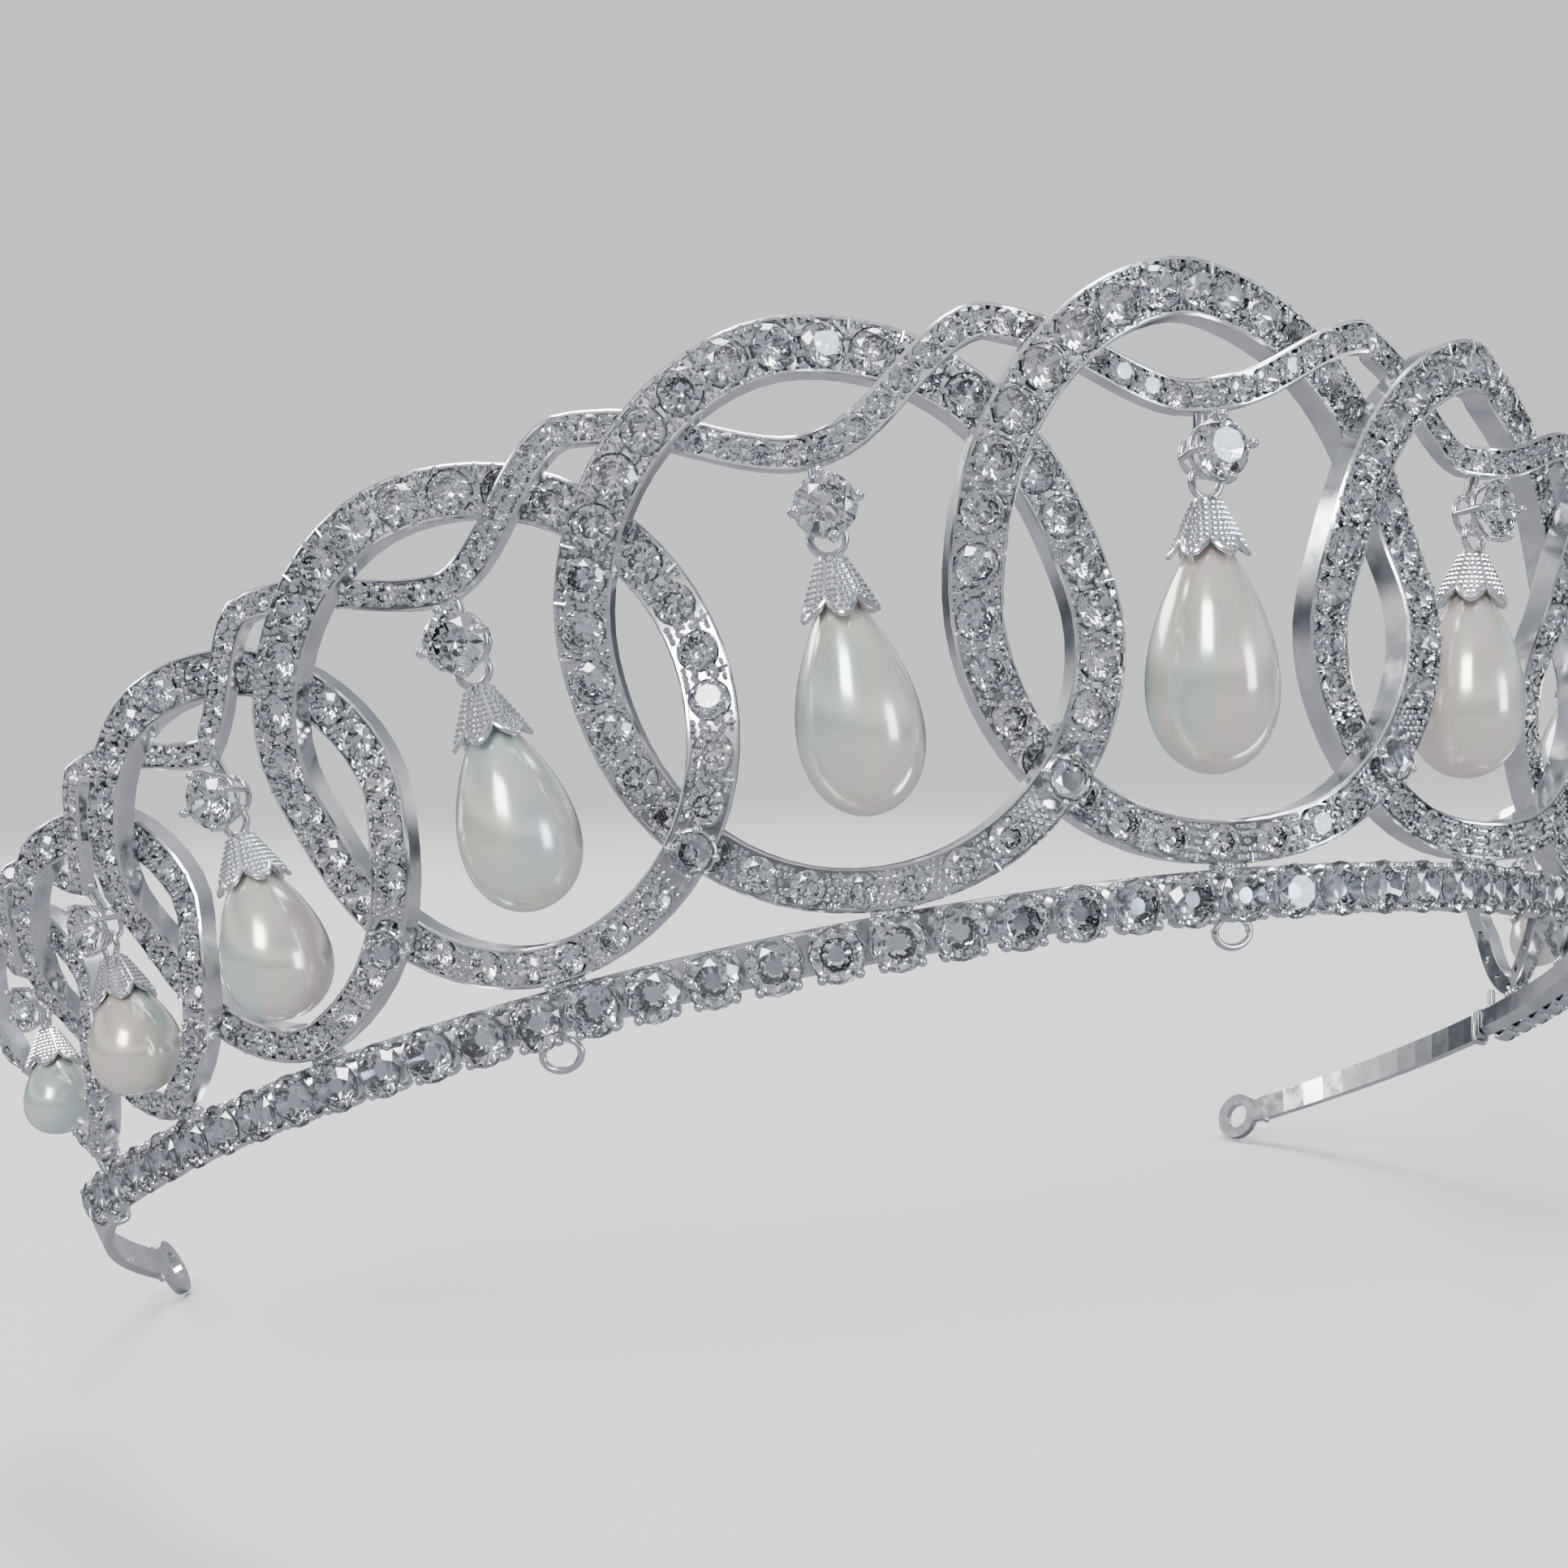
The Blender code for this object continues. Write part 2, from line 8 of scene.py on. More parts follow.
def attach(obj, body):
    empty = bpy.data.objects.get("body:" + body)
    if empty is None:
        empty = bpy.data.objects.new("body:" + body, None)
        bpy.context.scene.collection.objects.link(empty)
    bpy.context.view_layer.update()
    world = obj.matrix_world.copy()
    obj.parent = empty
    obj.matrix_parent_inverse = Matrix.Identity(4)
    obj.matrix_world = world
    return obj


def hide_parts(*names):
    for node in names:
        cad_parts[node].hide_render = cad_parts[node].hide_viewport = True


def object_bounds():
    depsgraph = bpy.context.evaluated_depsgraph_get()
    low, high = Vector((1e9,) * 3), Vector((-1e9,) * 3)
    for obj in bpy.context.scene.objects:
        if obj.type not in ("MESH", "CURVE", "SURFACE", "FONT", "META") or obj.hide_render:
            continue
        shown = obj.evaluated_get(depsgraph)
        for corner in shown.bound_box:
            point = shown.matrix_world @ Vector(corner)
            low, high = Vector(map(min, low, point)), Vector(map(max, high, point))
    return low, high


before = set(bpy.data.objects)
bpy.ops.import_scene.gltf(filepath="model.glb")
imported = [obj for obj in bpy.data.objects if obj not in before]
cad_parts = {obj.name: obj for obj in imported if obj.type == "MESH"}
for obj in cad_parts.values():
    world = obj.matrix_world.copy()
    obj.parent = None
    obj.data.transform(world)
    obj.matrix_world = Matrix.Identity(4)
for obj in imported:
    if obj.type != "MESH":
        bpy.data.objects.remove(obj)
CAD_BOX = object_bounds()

MM = 0.001
DRAWS = np.random.default_rng(11)

# Layout, as in part.py
BAND_RADIUS = 77.3
WALL_LEAN = math.radians(20.15)
WEAR_TILT = math.radians(24.0)
RING_HEIGHTS = [43.0, 40.7, 36.6, 30.9, 25.6, 23.4]
RING_SPACING = 0.60
LAST_RING_ALONG = 100.4
RING_WIDTH_RATIO = 0.945
RING_FOOT = 2.2
RING_TOP_FACE = 4.2
RING_SIDE_FACE = 3.9
RING_BOTTOM_FACE = 3.1
RING_DEPTH = 2.2
WEAVE_SHARPNESS = 2.2
WEAVE_GAP = 0.7
RIBBON_TROUGH = 0.775
RIBBON_CLEAR = 2.75
RIBBON_WIDTH = 2.5
RIBBON_DEPTH = 1.4
RIBBON_RISE = 0.85
RIBBON_START = 6.6
RIBBON_END = 6.0
BAND_END = 107.2
BAND_TOP = 1.85
BAND_BOTTOM = -1.75
BAND_BACK = -1.3
BAND_STONE_PITCH = 4.2
POST_ALONG = 105.6
HAIRPIN_ALONGS = [-50.0, 0.0, 50.0]
HAIRPIN_HALF_WIDTH = 1.45
HAIRPIN_HALF_HEIGHT = 1.1
HAIRPIN_WIRE_RADIUS = 0.28
HAIRPIN_DROP = 0.9
HAIRPIN_INSET = 0.55
STRAP_HEIGHT = 3.2
STRAP_OUT = -0.85
STRAP_DEPTH = 0.9
EYELET_ALONG = 154.0
EYELET_RADIUS = 3.1
DROP_STONE_RADII = [2.1, 2.1, 2.1, 1.95, 1.8, 1.65]
DROP_LENGTHS = [20.9, 19.1, 17.2, 15.1, 12.1, 9.8]
PEARL_RADII = [4.75, 4.4, 4.2, 3.95, 3.5, 2.8]
CAP_SCALES = [1.0, 1.0, 0.97, 0.94, 0.91, 0.82]
STANDARD_STONE = 2.1
LOOP_MID_RADIUS = 1.2
LOOP_WIRE_RADIUS = 0.28
HINGE_BELOW_STONE = 0.76
LOOP_SUNK = 0.3
PRONG_TURN = math.radians(5.0)
GAP = 0.32

# Stone setting. A share is a part of the bar's width.
RIM = 0.28
RECESS = 0.32
CHAMFER = 0.14
SEAT_SHARE = 0.33
RING_STONE_PITCH = 3.62
RING_STONE_RADIUS = 1.72
RING_STONE_SHARE = 0.415
RIBBON_STONE_PITCH = 2.35
RIBBON_STONE_SHARE = 0.42
STONE_SUNK = 0.08
BEAD_PITCH = 0.5
BEAD_RADIUS = 0.25
TICK_SHARES = (0.97, 0.87, 0.77)
TICK_RADIUS = 0.14
TICK_SUNK = 0.04
AZURE_RADIUS = 0.55
JUNCTION_STONE_RADIUS = 1.65
JUNCTION_CLEAR = 0.85

# Band, strap fittings and solder
BAND_STONE_RADIUS = 2.02
BAND_SEAT_OUT = 1.05
BAND_PRONG_ASIDE = 1.28
BAND_PRONG_HEIGHT = 1.5
BAND_PRONG_RADII = [0.3, 0.3, 0.26]
BAND_TIP_RADIUS = 0.36
CONTACT_RADIUS = 0.62
CONTACT_SHIFTS = (-0.9, 0.0, 0.9)
RAIL_BOTTOM = -1.25
RAIL_SOFT = 0.25
RAIL_STEPS = 180
POST_RADIUS = 0.42
STUD_RADIUS = 0.42
BRACKET_ALONG = 1.0
BRACKET_CLEAR = 0.3
BRACKET_RADIUS = 0.32
NUB_ASIDE = 1.6
NUB_RADIUS = 0.42

# Drop settings, for the standard stone: (reach, out, wire) of the gallery rings, and the claws
GALLERY_WIRES = ((1.4, -0.85, 0.24), (1.93, 1.0, 0.2))
CLAW_PATH = ((1.38, -0.85), (1.6, 0.0), (2.0, 1.0), (2.32, 1.9), (2.36, 2.4), (2.2, 2.75))
CLAW_RADII = (0.26, 0.26, 0.27, 0.28, 0.3, 0.28)
CLAW_TIP_RADIUS = 0.38
HANGER_RADII = (0.42, 0.5, 0.55)
SETTING_DROP = 0.75
DROP_STONE_OUT = 2.15

# Caps, at scale 1: outline by share of the way down, and the petals cut into it
CAP_SHARES = [0.0, 0.12, 0.4, 0.7, 0.88, 1.0]
CAP_RADII = [0.85, 1.04, 1.62, 2.22, 2.56, 2.88]
CAP_LENGTH = 4.1
CAP_WALL = 0.26
CAP_CEILING = 0.22
CAP_LID = [(0.0, 0.12), (0.5, 0.1), (0.82, 0.0), (0.86, -0.12), (0.62, -0.3), (0.0, -0.3)]
PETALS = 6
PETAL_CUT = 0.30
PETAL_POINT = 1.6
PETAL_DISH = 0.16
PETAL_RIM = 0.20
CAP_BEAD_ROWS = 10.5
CAP_BEAD_PITCH = 0.41
CAP_BEAD_RADIUS = 0.22
PEARL_FULLEST = 0.786

# Colours
RHODIUM_DARK = (0.66, 0.67, 0.69)
RHODIUM_LIGHT = (0.86, 0.87, 0.89)
STONE_CLEAR = (0.97, 0.985, 1.0)
STONE_TINT = (0.90, 0.94, 1.0)
PEARL_COOL = (0.47, 0.55, 0.54)
PEARL_CREAM = (0.60, 0.57, 0.50)
PEARL_ROSE = (0.60, 0.53, 0.53)
FLOOR_DARK = (0.66, 0.66, 0.67)
FLOOR_LIGHT = (0.69, 0.69, 0.70)
FLOOR_MIRRORED = (0.18, 0.18, 0.20)
BACKDROP = (0.88, 0.89, 0.91)

# Studio: the world that metal and stones mirror, as (share of the way up, colour), and the lamps
# as name, place and size in metres, watts and colour
SKY = [
    (0.0, (0.28, 0.28, 0.30)), (0.45, (0.02, 0.02, 0.03)), (0.55, (0.12, 0.13, 0.15)),
    (0.63, (1.0, 1.0, 1.0)), (0.76, (0.26, 0.28, 0.32)), (1.0, (0.90, 0.91, 0.94))]
LAMPS = [
    ("key_light", (-1.0, -1.2, 1.1), (0.57, 0.75), 34.0, (1.0, 0.99, 0.97)),
    ("fill_light", (0.93, -1.36, 0.25), (0.44, 0.75), 12.5, (0.74, 0.87, 1.0)),
    ("top_light", (0.1, 0.1, 1.5), (1.0, 0.35), 19.0, (1.0, 1.0, 1.0)),
    ("back_light", (-0.55, 1.3, 0.75), (1.1, 0.44), 14.5, (1.0, 1.0, 1.0))]
LAMP_TARGET = (0.0, -0.02, 0.03)
FLOOR_REACH = 6.0
FLOOR_BELOW = 0.2
FLOOR_FADE = (0.35, 1.3)
CAMERA_PLACE = (-74.4, -175.4, 45.3)
CAMERA_FORWARD = (0.360, 0.932, -0.038)
CAMERA_RIGHT = (0.931, -0.362, -0.040)
CAMERA_LENS = 40.53


# ---------------------------------------------------------------- layout

def wall(along, height, out):
    """World positions, in millimetres, of points given in the flat layout."""
    turn = np.asarray(along) / BAND_RADIUS
    radius = BAND_RADIUS + height * math.sin(WALL_LEAN) + out * math.cos(WALL_LEAN)
    level = height * math.cos(WALL_LEAN) - out * math.sin(WALL_LEAN)
    back = -radius * np.cos(turn)
    return np.stack([
        radius * np.sin(turn),
        back * math.cos(WEAR_TILT) + level * math.sin(WEAR_TILT),
        -back * math.sin(WEAR_TILT) + level * math.cos(WEAR_TILT)], axis=-1)


def unit(vectors):
    """The same directions at length one."""
    return vectors / np.linalg.norm(vectors, axis=-1, keepdims=True)


def wall_axes(along):
    """Unit vectors along the band, up the wall and square out of it."""
    here = wall(along, 0.0, 0.0)
    up = unit(wall(along, 1.0, 0.0) - here)
    outward = unit(wall(along, 0.0, 1.0) - here)
    return np.cross(up, outward), up, outward


def stretch(height):
    """How much longer the wall is at this height than at the band, for the same turn."""
    return 1.0 + height * math.sin(WALL_LEAN) / BAND_RADIUS


def ring_layout():
    """Signed number, place along the band and height of each oval, from left to right."""
    alongs = [0.0]
    for low, high in zip(RING_HEIGHTS[1:-1], RING_HEIGHTS):
        alongs.append(alongs[-1] + RING_SPACING * (low + high) / 2)
    alongs.append(LAST_RING_ALONG)
    right = list(enumerate(zip(alongs, RING_HEIGHTS)))
    left = [(-index, (-along, height)) for index, (along, height) in reversed(right[1:])]
    return [(index, along, height) for index, (along, height) in left + right]


def side_name(index):
    """Word for a place, as the CAD nodes use it."""
    if index == 0:
        return "center"
    return f"{'right' if index > 0 else 'left'}_{abs(index)}"


def face_scale(height):
    """Smaller ovals have slightly narrower bars."""
    return 0.40 + 0.60 * height / RING_HEIGHTS[0]


# ---------------------------------------------------------------- mesh tools

class Shells:
    """A growing set of closed shells, in millimetres, that becomes one object."""

    def __init__(self):
        self.points = []
        self.faces = []
        self.count = 0

    def add(self, points, faces):
        self.points.append(np.asarray(points, dtype=float).reshape(-1, 3))
        self.faces += [[corner + self.count for corner in face] for face in faces]
        self.count += len(self.points[-1])

    def place(self, shape, origin, axes, size):
        """Copy a shape to an origin, with its own X, Y and Z along the given axes."""
        points, faces = shape
        self.add(np.asarray(origin) + (points * size) @ np.asarray(axes), faces)

    def make(self, name, material, smooth_angle):
        mesh = bpy.data.meshes.new(name)
        mesh.from_pydata((np.concatenate(self.points) * MM).tolist(), [], self.faces)
        mesh.update()
        if smooth_angle:
            mesh.shade_smooth()
            mesh.set_sharp_from_angle(angle=math.radians(smooth_angle))
        mesh.materials.append(material)
        piece = bpy.data.objects.new(name, mesh)
        bpy.context.scene.collection.objects.link(piece)
        return piece


def tube_faces(rows, corners, closed):
    """Quads that skin equal rows of points, counter-clockwise from outside."""
    faces = []
    for row in range(rows if closed else rows - 1):
        after = (row + 1) % rows
        for corner in range(corners):
            following = (corner + 1) % corners
            faces.append([row * corners + corner, row * corners + following,
                          after * corners + following, after * corners + corner])
    if not closed:
        faces.append(list(range(corners - 1, -1, -1)))
        faces.append([(rows - 1) * corners + corner for corner in range(corners)])
    return faces


def tube(path, radii, sides, closed=False, flat_normal=None):
    """Round wire along a path, with a radius at each point."""
    path = np.asarray(path, dtype=float)
    if closed:
        tangents = unit(np.roll(path, -1, axis=0) - np.roll(path, 1, axis=0))
    else:
        tangents = unit(np.gradient(path, axis=0))
    normal = np.asarray(flat_normal, dtype=float)
    first = unit(np.cross(tangents, normal))
    second = np.cross(tangents, first)
    turns = 2 * np.pi * np.arange(sides) / sides
    radii = np.broadcast_to(radii, len(path))[:, None, None]
    points = path[:, None] + radii * (
        np.cos(turns)[None, :, None] * first[:, None] + np.sin(turns)[None, :, None] * second[:, None])
    return points.reshape(-1, 3), tube_faces(len(path), sides, closed)


def lathe(profile, steps):
    """Closed turned shape about Z from (radius, height) points, top and bottom on the axis."""
    turns = 2 * np.pi * np.arange(steps) / steps
    points = [(0.0, 0.0, profile[0][1])]
    for radius, height in profile[1:-1]:
        points += [(radius * math.cos(turn), radius * math.sin(turn), height) for turn in turns]
    points.append((0.0, 0.0, profile[-1][1]))
    last = len(points) - 1
    rings = len(profile) - 2
    faces = []
    for step in range(steps):
        after = (step + 1) % steps
        faces.append([0, 1 + step, 1 + after])
        for ring in range(rings - 1):
            low = 1 + ring * steps
            faces.append([low + step, low + steps + step, low + steps + after, low + after])
        low = 1 + (rings - 1) * steps
        faces.append([low + step, last, low + after])
    return np.array(points), faces


def ball(steps, bands):
    """Unit sphere for beads and claw tips."""
    turns = [math.pi * band / bands for band in range(bands + 1)]
    return lathe([(math.sin(turn), math.cos(turn)) for turn in turns], steps)


def brilliant():
    """Round brilliant cut of unit radius: table, stars, kites, girdle and pavilion."""
    table_radius, star_radius, lower_radius = 0.60, 0.81, 0.26
    table_height, girdle_height, depth = 0.33, 0.03, 0.84
    eighth = math.pi / 4
    slope = (girdle_height - table_height) / (1 - table_radius)
    star_height = table_height + (star_radius * math.cos(eighth / 2) - table_radius) * slope
    lower_height = -depth + lower_radius * math.cos(eighth / 2) * (depth - girdle_height)

    def corner(radius, turn, height):
        return (radius * math.cos(turn), radius * math.sin(turn), height)

    points = [corner(table_radius, eighth * k, table_height) for k in range(8)]
    points += [corner(star_radius, eighth * (k + 0.5), star_height) for k in range(8)]
    points += [corner(1.0, eighth * k / 2, girdle_height) for k in range(16)]
    points += [corner(1.0, eighth * k / 2, -girdle_height) for k in range(16)]
    points += [corner(lower_radius, eighth * (k + 0.5), lower_height) for k in range(8)]
    points.append((0.0, 0.0, -depth))
    table, star, upper, lower, pavilion, culet = 0, 8, 16, 32, 48, 56
    faces = [list(range(8))]
    for k in range(8):
        after = (k + 1) % 8
        even, odd, next_even = 2 * k, 2 * k + 1, (2 * k + 2) % 16
        faces.append([table + k, star + k, table + after])
        faces.append([table + after, star + k, upper + next_even, star + after])
        faces.append([star + k, upper + even, upper + odd])
        faces.append([star + k, upper + odd, upper + next_even])
        faces.append([upper + even, lower + even, lower + odd, upper + odd])
        faces.append([upper + odd, lower + odd, lower + next_even, upper + next_even])
        faces.append([pavilion + k, lower + odd, lower + even])
        faces.append([pavilion + k, lower + next_even, lower + odd])
        faces.append([culet, pavilion + after, lower + next_even, pavilion + k])
    return np.array(points), faces


BEAD = ball(6, 4)
TIP = ball(12, 8)
BRILLIANT = brilliant()


def tilted(axes, spread):
    """A stone's axes turned by a random amount about its own axis, and tipped a little."""
    spin = DRAWS.uniform(0, math.pi / 4)
    tip_x, tip_y = DRAWS.normal(0, spread, 2)
    turned = (Matrix.Rotation(spin, 3, "Z") @ Matrix.Rotation(tip_x, 3, "X")
              @ Matrix.Rotation(tip_y, 3, "Y"))
    return np.array(turned) @ np.asarray(axes)


# ---------------------------------------------------------------- materials

def new_material(name):
    """A node material, its tree, its shader and its object coordinates."""
    material = bpy.data.materials.new(name)
    material.use_nodes = True
    tree = material.node_tree
    coordinates = tree.nodes.new("ShaderNodeTexCoord")
    return material, tree, tree.nodes["Principled BSDF"], coordinates.outputs["Object"]


def noise(tree, where, scale, detail=3.0):
    """Noise over the object's own coordinates, with the scale per metre."""
    texture = tree.nodes.new("ShaderNodeTexNoise")
    texture.inputs["Scale"].default_value = scale
    texture.inputs["Detail"].default_value = detail
    tree.links.new(where, texture.inputs["Vector"])
    return texture.outputs["Fac"]


def remap(tree, value, low, high, start=0.3, end=0.7):
    """Spread a value over low to high; unless told otherwise, the middle of a noise."""
    node = tree.nodes.new("ShaderNodeMapRange")
    node.inputs["From Min"].default_value = start
    node.inputs["From Max"].default_value = end
    node.inputs["To Min"].default_value = low
    node.inputs["To Max"].default_value = high
    tree.links.new(value, node.inputs["Value"])
    return node.outputs["Result"]


def colour_ramp(tree, value, stops):
    """Colours at (position, colour) stops along a value."""
    node = tree.nodes.new("ShaderNodeValToRGB")
    elements = node.color_ramp.elements
    while len(elements) < len(stops):
        elements.new(0.5)
    for element, (position, colour) in zip(elements, stops):
        element.position = position
        element.color = (*colour, 1.0)
    tree.links.new(value, node.inputs["Fac"])
    return node.outputs["Color"]


def bump(tree, value, shader, strength, distance):
    """Raise the surface with a value."""
    node = tree.nodes.new("ShaderNodeBump")
    node.inputs["Strength"].default_value = strength
    node.inputs["Distance"].default_value = distance
    tree.links.new(value, node.inputs["Height"])
    tree.links.new(node.outputs["Normal"], shader.inputs["Normal"])


def rhodium(name, smooth, rough, relief):
    """White rhodium plate, from mirror-bright to hand-finished."""
    material, tree, shader, where = new_material(name)
    shader.inputs["Metallic"].default_value = 1.0
    cloud = noise(tree, where, 260.0)
    tone = colour_ramp(tree, cloud, [(0.3, RHODIUM_DARK), (0.62, RHODIUM_LIGHT)])
    tree.links.new(tone, shader.inputs["Base Color"])
    tree.links.new(remap(tree, noise(tree, where, 700.0), smooth, rough), shader.inputs["Roughness"])
    bump(tree, noise(tree, where, 2600.0), shader, relief, 0.00003)
    return material


def cut_stone(name):
    """Clear cut crystal with a faint cool tint that changes from stone to stone."""
    material, tree, shader, where = new_material(name)
    shader.inputs["Transmission Weight"].default_value = 1.0
    shader.inputs["IOR"].default_value = 2.1
    shader.inputs["Roughness"].default_value = 0.0
    tint = colour_ramp(tree, noise(tree, where, 190.0), [(0.35, STONE_CLEAR), (0.6, STONE_TINT)])
    tree.links.new(tint, shader.inputs["Base Color"])
    return material


def nacre():
    """Cream pearl lacquer with soft upright streaks of rose and cool tints under a clear coat."""
    material, tree, shader, where = new_material("pearl_nacre")
    shader.inputs["Metallic"].default_value = 0.5
    shader.inputs["Coat Weight"].default_value = 0.6
    shader.inputs["Coat Roughness"].default_value = 0.03
    shader.inputs["Thin Film Thickness"].default_value = 420.0
    shader.inputs["Thin Film IOR"].default_value = 1.45
    shader.inputs["Subsurface Weight"].default_value = 0.12
    shader.inputs["Subsurface Scale"].default_value = 0.002
    streaks = tree.nodes.new("ShaderNodeMapping")
    streaks.inputs["Scale"].default_value = (1.0, 1.0, 0.2)
    tree.links.new(where, streaks.inputs["Vector"])
    where = streaks.outputs["Vector"]
    cloud = noise(tree, where, 190.0, 2.5)
    stops = [(0.36, PEARL_COOL), (0.5, PEARL_CREAM), (0.64, PEARL_ROSE)]
    tree.links.new(colour_ramp(tree, cloud, stops), shader.inputs["Base Color"])
    tree.links.new(remap(tree, noise(tree, where, 600.0), 0.12, 0.24), shader.inputs["Roughness"])
    bump(tree, noise(tree, where, 3500.0), shader, 0.05, 0.00002)
    return material


POLISHED = rhodium("rhodium_polished", 0.05, 0.16, 0.04)
BEADED = rhodium("rhodium_beaded", 0.10, 0.22, 0.08)
CRYSTAL = cut_stone("crystal_cut")
NACRE = nacre()


# ---------------------------------------------------------------- stone-set bars

class Bar:
    """A flat bar on the wall between two edges, measured by the distance along its middle."""

    def __init__(self, inner, outer, lift, depth, closed):
        self.columns = np.column_stack([inner, outer, lift])
        middle = wall(*(self.columns[:, 0:2] + self.columns[:, 2:4]).T / 2, lift)
        steps = np.linalg.norm(np.diff(middle, axis=0), axis=1)
        self.marks = np.concatenate([[0.0], np.cumsum(steps)])
        self.length = self.marks[-1]
        self.depth = depth
        self.closed = closed

    def point(self, distance, share, out):
        """Positions a share of the way from the inner to the outer edge, out from the middle."""
        distance = np.asarray(distance, dtype=float)
        if self.closed:
            distance = np.mod(distance, self.length)
        inner_along, inner_level, outer_along, outer_level, lift = (
            np.interp(distance, self.marks, column) for column in self.columns.T)
        along = inner_along + (outer_along - inner_along) * share
        level = inner_level + (outer_level - inner_level) * share
        return wall(along, level, lift + out)

    def width(self, distance):
        """Width of the face."""
        edges = self.point(distance, 1.0, 0.0) - self.point(distance, 0.0, 0.0)
        return np.linalg.norm(edges, axis=-1)

    def axes(self, distance):
        """Axes along the bar, across it and out of its face."""
        here = self.point(distance, 0.5, 0.0)
        ahead = unit(self.point(distance + 0.1, 0.5, 0.0) - self.point(distance - 0.1, 0.5, 0.0))
        outward = unit(self.point(distance, 0.5, 1.0) - here)
        across = unit(np.cross(outward, ahead))
        return np.stack([ahead, across, np.cross(ahead, across)], axis=-2)


def bar_cells(bar, pitch):
    """Number of stone cells in a bar and the length of each."""
    count = max(3, round(bar.length / pitch))
    return count, bar.length / count


def bar_frame(shells, bar, pitch, seat_share):
    """Metal of a bar: rims round a sunk face, with a drilled seat through it for each stone."""
    cells, cell = bar_cells(bar, pitch)
    stations = 2 * cells if bar.closed else 2 * cells + 1
    distance = np.arange(stations) * cell / 2
    width = bar.width(distance)
    half = bar.depth / 2
    rim, edge = RIM / width, CHAMFER / width
    zero = np.zeros(stations)
    side = [(edge, -half), (zero, -half + CHAMFER), (zero, half - CHAMFER), (edge, half),
            (rim, half), (rim, half - RECESS)]
    columns = [bar.point(distance, 1 - share, out) for share, out in side]
    columns.append(bar.point(distance, 0.5 + zero, half - RECESS))
    columns += [bar.point(distance, share, out) for share, out in reversed(side)]
    columns.append(bar.point(distance, 0.5 + zero, -half))
    points = np.stack(columns, axis=1).reshape(-1, 3)
    around = len(columns)
    back, front = around - 1, 6
    faces = []

    def at(station, column):
        return (station % stations) * around + column

    for station in range(stations if bar.closed else stations - 1):
        for column in list(range(5)) + list(range(7, 12)):
            faces.append([at(station, column), at(station + 1, column),
                          at(station + 1, column + 1), at(station, column + 1)])
    holes = []
    base = len(points)
    for number in range(cells):
        first, middle, last = 2 * number, 2 * number + 1, 2 * number + 2
        centre = (number + 0.5) * cell
        for outer, inner, mid, out, radius in (
                (5, 7, front, half - RECESS, seat_share * bar.width(centre)),
                (0, 12, back, -half, AZURE_RADIUS)):
            border = [at(first, outer), at(middle, outer), at(last, outer), at(last, mid),
                      at(last, inner), at(middle, inner), at(first, inner), at(first, mid)]
            turns = np.pi * np.array([0.75, 0.5, 0.25, 0.0, -0.25, -0.5, -0.75, 1.0])
            rim_points = bar.point(centre + radius * np.cos(turns),
                                   0.5 + radius * np.sin(turns) / bar.width(centre), out)
            start = base + len(holes)
            holes += list(rim_points)
            for k in range(8):
                after = (k + 1) % 8
                quad = [border[k], border[after], start + after, start + k]
                faces.append(quad if mid == front else quad[::-1])
        for k in range(8):
            after = (k + 1) % 8
            upper = start - 8
            faces.append([upper + k, upper + after, start + after, start + k])
    if not bar.closed:
        end = stations - 1
        faces.append([at(0, column) for column in range(around)])
        faces.append([at(end, column) for column in range(around - 1, -1, -1)])
    shells.add(np.concatenate([points, np.array(holes)]), faces)


def bar_stones(stones, bar, pitch, radius_share, skipped):
    """One brilliant in each seat, except where something else is fixed."""
    cells, cell = bar_cells(bar, pitch)
    centres = []
    for number in range(cells):
        centre = (number + 0.5) * cell
        radius = min(RING_STONE_RADIUS, radius_share * float(bar.width(centre)))
        origin = bar.point(centre, 0.5, bar.depth / 2 - STONE_SUNK)
        if all(np.linalg.norm(origin - place) > gap for place, gap in skipped):
            stones.place(BRILLIANT, origin, tilted(bar.axes(centre), 0.045), radius)
            centres.append((centre, radius))
    return centres


def bar_beads(shells, bar, centres, skipped):
    """Bead prongs that fill the sunk face between the stones."""
    floor = bar.depth / 2 - RECESS
    places = []
    for centre, radius in centres:
        width = float(bar.width(centre))
        turns = math.pi / 8 + np.pi / 4 * np.arange(8)
        for turn in turns:
            reach = radius + 0.10
            share = 0.5 + reach * math.sin(turn) / width
            if abs(share - 0.5) * width < width / 2 - RIM - 0.05:
                places.append((centre + reach * math.cos(turn), share, 1.1, 0.26))
    steps = int(bar.length / BEAD_PITCH)
    stone_at = np.array([centre for centre, _ in centres])
    stone_radius = np.array([radius for _, radius in centres])
    for step in range(steps):
        distance = (step + 0.5) * bar.length / steps
        width = float(bar.width(distance))
        room = width / 2 - RIM - BEAD_RADIUS * 0.7
        rows = int(2 * room / (BEAD_PITCH * 0.9))
        for row in range(rows + 1):
            across = -room + 2 * room * row / rows
            shift = 0.5 * BEAD_PITCH if row % 2 else 0.0
            here = distance + shift
            gap = np.abs(stone_at - here)
            if bar.closed:
                gap = np.minimum(gap, bar.length - gap)
            if np.any(np.hypot(gap, across) < stone_radius + 0.22):
                continue
            places.append((here, 0.5 + across / width, 0.9, 0.18))
    if not places:
        return
    distance, share, size, lift = np.array(places).T
    distance = distance + DRAWS.normal(0, 0.03, len(distance))
    size = size * DRAWS.uniform(0.85, 1.15, len(size))
    origins = bar.point(distance, share, floor + lift)
    points, faces = BEAD
    for origin, scale in zip(origins, size):
        if all(np.linalg.norm(origin - place) > gap for place, gap in skipped):
            shells.add(origin + points * BEAD_RADIUS * scale, faces)


